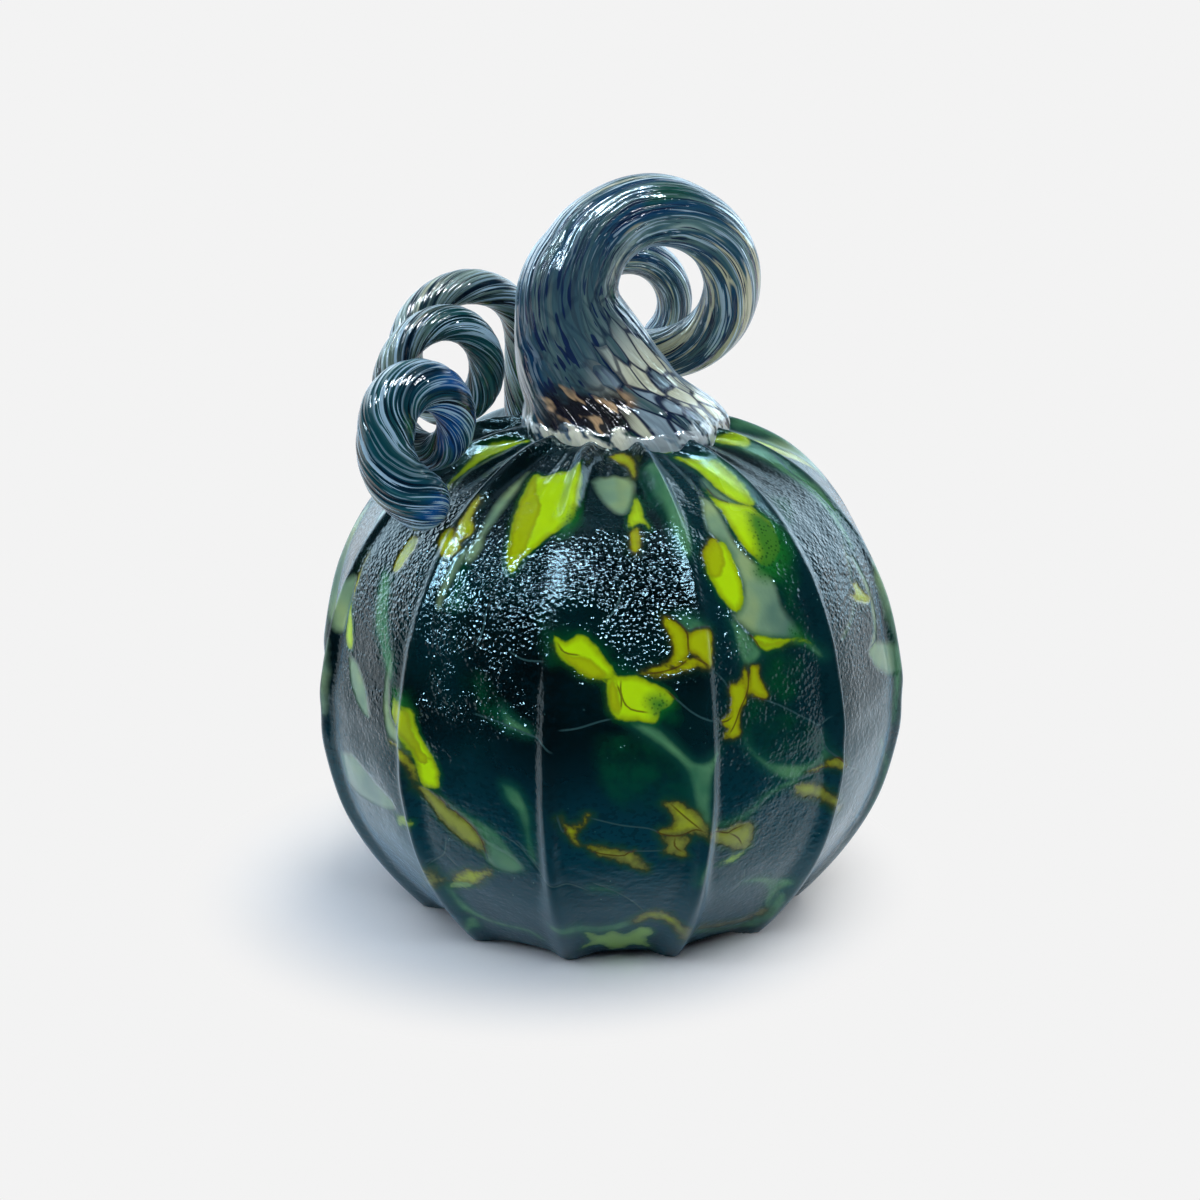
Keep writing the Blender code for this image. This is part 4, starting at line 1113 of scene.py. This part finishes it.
end_reach = STEM_FOOT_RADIUS + TENDRIL_TUBE + TENDRIL_END_ROOM
end_x = STEM_X - end_reach * math.cos(TENDRIL_END)
end_y = STEM_Y + end_reach * math.sin(TENDRIL_END)
first_loop = TENDRIL_START_TUBE + TENDRIL_HOLE
seat_y = TENDRIL_Y - START[0][1] * TENDRIL_START_TUBE
upper = crest[:, 1] > BODY_HEIGHT / 2
shoulder = np.interp(math.hypot(TENDRIL_X, seat_y), crest[upper, 0], crest[upper, 1])
middle_z = shoulder + TENDRIL_SEAT + TENDRIL_RISE
rows = []
for left, front, under in START:
    rows.append((TENDRIL_X - left * first_loop, TENDRIL_Y - front * TENDRIL_START_TUBE,
                 middle_z - under * TENDRIL_RISE, TENDRIL_START_TUBE, 1.0))
way_right = end_x - COIL[-1][4] * first_loop - TENDRIL_X
way_back = end_y - TENDRIL_Y
for degrees, right, back, up, loop, thick in curve_through(COIL, 3):
    turned = math.radians(degrees)
    rows.append((
        TENDRIL_X + right * way_right + loop * first_loop * math.cos(turned),
        TENDRIL_Y + back * way_back,
        middle_z + (up + loop * math.sin(turned)) * first_loop,
        TENDRIL_TUBE + thick * (TENDRIL_START_TUBE - TENDRIL_TUBE), 1.0,
    ))
for above in END:
    rows.append((end_x, end_y, BODY_HEIGHT + above * TENDRIL_TUBE, TENDRIL_TUBE, 1.0))
line = curve_through(rows, 8)[::-1]
tendril_line = spaced(line, TENDRIL_ROWS - TENDRIL_DOME_ROWS - 1, 3)
tendril_line = round_over(tendril_line, TENDRIL_DOME_ROWS)
rods = along_rod(tendril_line, 0.0)
tendril_line, side, over, length = (flat_start(rows, 1) for rows in (tendril_line, *rods))
tendril_line[0, 3] = 0.0

tendril, row, angle = rolled_sheet("tendril_rod", TENDRIL_COLUMNS, TENDRIL_ROWS)
at = tendril_line[row]
run = length[row] / MM
twist = TENDRIL_TWIST * run
wave = 0.012 * np.sin(13 * (angle + twist)) + 0.02 * np.sin(2 * (angle + twist) + run / 15)
thick = at[:, 3] * (1 + wave)
across = side[row] * np.cos(angle)[:, None] + over[row] * np.sin(angle)[:, None]
place_points(tendril, at[:, :3] + across * thick[:, None])
paint(tendril, "grain", np.stack([
    TENDRIL_GRAIN * np.cos(angle + twist), TENDRIL_GRAIN * np.sin(angle + twist), run,
], axis=1))
close_up(tendril)

# `to_start` is the way along the rod from its blunt start, in millimetres.
shader, flow = covered(tendril, "tendril_glass")
rod = flow.kept("grain", "Vector")
to_start = length[-1] / MM - rod.part(2)
threads = rod.stretch(1, 1, 0.04)
fine = threads.noise(1.95, 2.0, 0.5)
broad = threads.moved((5, 5, 5)).noise(0.55, 2.0)
colour = broad.ramp(TENDRIL_GLASS)
front_loop = 1 - to_start.rise(26, 42)
blot = rod.stretch(1, 1, 0.25).noise(0.30, 1.0)
ridges = flow.math("SINE", flow.math("ARCTAN2", rod.part(1), rod.part(0)) * 26)
blue = (1 - to_start.rise(4, 9)) + to_start.rise(34, 39) * (1 - to_start.rise(50, 56))
colour = colour.blend(COBALT, blue * blot.rise(0.38, 0.50) * 0.95)
colour = colour.blend(TENDRIL_TEAL, front_loop * (1 - blue) * blot.rise(0.40, 0.52) * 0.8)
back_loop = to_start.rise(116, 128)
grey = to_start.rise(56, 62) * (1 - to_start.rise(84, 94)) + back_loop
colour = colour.blend(TENDRIL_GREEN, to_start.rise(84, 94) * (1 - back_loop) * 0.6)
colour = colour.blend(TENDRIL_GREY, grey * broad.rise(0.42, 0.56) * 0.85)
colour = colour.blend(TENDRIL_CREAM, grey * fine.rise(0.52, 0.60) * blot.rise(0.46, 0.58))
fresh = rod.stretch(1, 1, 0.3).moved((7, 3, 1)).noise(0.16, 1.0).rise(0.63, 0.70)
colour = colour.blend(TENDRIL_FLECK, fresh * 0.8)
colour = colour.blend(BACK_LOOP_PALE, back_loop * broad.rise(0.46, 0.60) * 0.8)
white = fine.rise(0.54, 0.575) * threads.moved((1, 8, 3)).noise(0.26).rise(0.36, 0.54)
colour = colour.blend(TENDRIL_THREAD, white * 0.85)
dark = (1 - fine.rise(0.36, 0.42)) * 0.85
colour = colour.blend(TENDRIL_NAVY, dark)
# Painted reflection: where the rod is seen edge-on, its colour turns pale blue along the threads,
# standing in for the bright room mirrored at its rims.
facing = flow.node("ShaderNodeLayerWeight", {}, {"Blend": 0.5}, "Facing")
painted_rim = facing.rise(0.60, 0.92) * (0.15 + fine.rise(0.42, 0.54) * 0.85)
colour = colour.blend(TENDRIL_PAINTED_RIM_LIGHT, painted_rim * 0.75)
roughness = 0.04 + fine * 0.05
height = fine * 0.3 + broad * 0.5 + ridges * 0.10 + rod.stretch(1, 1, 0.5).noise(0.6) * 0.25
set_plain(shader, {
    "IOR": 1.6, "Sheen Weight": 0.3, "Sheen Roughness": 0.25,
    "Sheen Tint": (0.50, 0.78, 1.0, 1),
})
finish_glass(flow, shader, colour, roughness, height, 0.40 * MM)
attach(tendril, "root")
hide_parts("tendril")


# The floor: a plain pale sheet under the pumpkin. It takes the pumpkin's shadow close by.
# Further out the camera and the glass see it evenly white, as they see the background, and the
# glass mirrors it dim in front of the pumpkin.
FLOOR_SIDE = 14.0
PAPER_COLOUR = (0.85, 0.88, 0.93, 1)
WHITE_SEEN = 0.896
DIM_COLOUR = (0.006, 0.025, 0.035, 1)
SHADOW_SHIFT = (0.012, 0.0, 0)
SHADOW_FROM, SHADOW_UNTIL = 0.043, 0.080
DIM_FROM, DIM_UNTIL = -0.075, -0.045

bpy.ops.object.select_all(action="DESELECT")
bpy.ops.mesh.primitive_plane_add(size=FLOOR_SIDE)
floor = bpy.context.object
floor.name = "floor"
shader, flow = covered(floor, "paper")
set_plain(shader, {"Base Color": PAPER_COLOUR, "Roughness": 0.9, "Specular IOR Level": 0.1})
spot = flow.node("ShaderNodeTexCoord", {}, {}, "Object")
away = flow.node(
    "ShaderNodeVectorMath", {"operation": "LENGTH"}, {0: spot.moved(SHADOW_SHIFT)}, "Value")
seen = flow.ray("Is Camera Ray")
mirrored = flow.ray("Is Glossy Ray")
lit = Flow(flow.tree, shader.outputs[0])
white = flow.node("ShaderNodeEmission", {}, {"Color": (WHITE_SEEN, WHITE_SEEN, WHITE_SEEN, 1)})
dim = flow.node("ShaderNodeEmission", {}, {"Color": DIM_COLOUR})
in_front = 1 - spot.part(1).rise(DIM_FROM, DIM_UNTIL)
beyond = away.rise(SHADOW_FROM, SHADOW_UNTIL) * (seen + mirrored)
both = flow.node("ShaderNodeMixShader", {}, {0: beyond, 1: lit, 2: white})
both = flow.node("ShaderNodeMixShader", {}, {0: in_front * mirrored, 1: both, 2: dim})
flow.tree.links.new(both.socket, flow.tree.nodes["Material Output"].inputs["Surface"])


# The studio: a white room with a dim side behind the camera, a soft window over the front and a
# second one to the left, both with panes, and a wide warm lamp. In reflections the panes are
# narrower and brighter and the walls stand out more, because dark glass shows little else.
DARKEST = 0.03
WALL_LIGHT, WALL_MIRRORED = 1.5, 1.8
WINDOW_LIGHT, WINDOW_MIRRORED = 12.0, 105.0
LEFT_LIGHT, LEFT_MIRRORED = 9.0, 65.0
PANE_DEGREES = 17
ROOM_TINT = (0.86, 0.93, 1.0, 1)
MIRRORED_TINT = (0.70, 0.88, 1.0, 1)
LAMP_STRENGTH = 0.9
LAMP_COLOUR = (1.0, 0.84, 0.62)

world = bpy.data.worlds.new("studio")
bpy.context.scene.world = world
world.use_nodes = True
tree = world.node_tree
air = Flow(tree, None)
ray = air.node("ShaderNodeTexCoord", {}, {}, "Generated")
turned = air.math("ARCTAN2", ray.part(0), ray.part(1) * -1) * (180 / math.pi)
lift = air.math("ARCSINE", ray.part(2)) * (180 / math.pi)
aside = air.math("ABSOLUTE", turned)
mirrored = air.ray("Is Glossy Ray")
walls = (aside - mirrored * 10).rise(92, 108 + mirrored * 10)
walls = walls * (1 - aside.rise(155, 174) * 0.6) * (WALL_LIGHT + WALL_MIRRORED * mirrored)
walls = walls.greater(aside.rise(100, 150) * 0.75)
walls = DARKEST + walls * (1 - (lift + mirrored * 14).rise(35, 60))
walls = walls.greater(lift.rise(55, 80) * 0.5)
panes = air.math("SINE", turned * (2 * math.pi / PANE_DEGREES))
panes = panes.rise(0.0, 0.35) * (1 - mirrored) + panes.rise(0.55, 0.75) * mirrored
window = turned.rise(-65, -59) * (1 - turned.rise(37, 43)) * lift.rise(47, 51)
window = window * (1 - (lift + mirrored * 6.0).rise(63, 69)) * panes
window = window * (WINDOW_LIGHT + WINDOW_MIRRORED * mirrored)
left = turned.rise(-77, -71) * (1 - turned.rise(-53, -47)) * lift.rise(26, 30)
left = left * (1 - lift.rise(45, 51)) * panes * (LEFT_LIGHT + LEFT_MIRRORED * mirrored)
light = walls.greater(window).greater(left)
seen = air.ray("Is Camera Ray")
strength = light * (1 - seen) + seen * WHITE_SEEN
sky = tree.nodes["Background"]
tint = air.between(mirrored * (1 - window.rise(0, 3)), ROOM_TINT, MIRRORED_TINT)
tree.links.new(tint.socket, sky.inputs["Color"])
tree.links.new(strength.socket, sky.inputs["Strength"])

lamp = bpy.data.lights.new("lamp", "SUN")
lamp.energy = LAMP_STRENGTH
lamp.angle = math.radians(35)
lamp.color = LAMP_COLOUR
lamp_object = bpy.data.objects.new("lamp", lamp)
lamp_object.rotation_euler = (math.radians(-32), math.radians(28), 0)
lamp_object.visible_glossy = False
bpy.context.scene.collection.objects.link(lamp_object)


# The camera, where the photograph was taken from: a little over the pumpkin and close to it.
CAMERA_BACK = 0.5828
CAMERA_UP = 0.2544
AIM_UP = 0.0635

camera = bpy.data.cameras.new("camera")
camera.lens = 88.0
camera.sensor_width = 36.0
camera.shift_x = -8 / 1200
camera_object = bpy.data.objects.new("camera", camera)
camera_object.location = (0.0, -CAMERA_BACK, CAMERA_UP)
drop = math.atan2(CAMERA_UP - AIM_UP, CAMERA_BACK)
camera_object.rotation_euler = (math.pi / 2 - drop, 0.0, 0.0)
bpy.context.scene.collection.objects.link(camera_object)
bpy.context.scene.camera = camera_object
bpy.context.scene.view_settings.view_transform = "Standard"
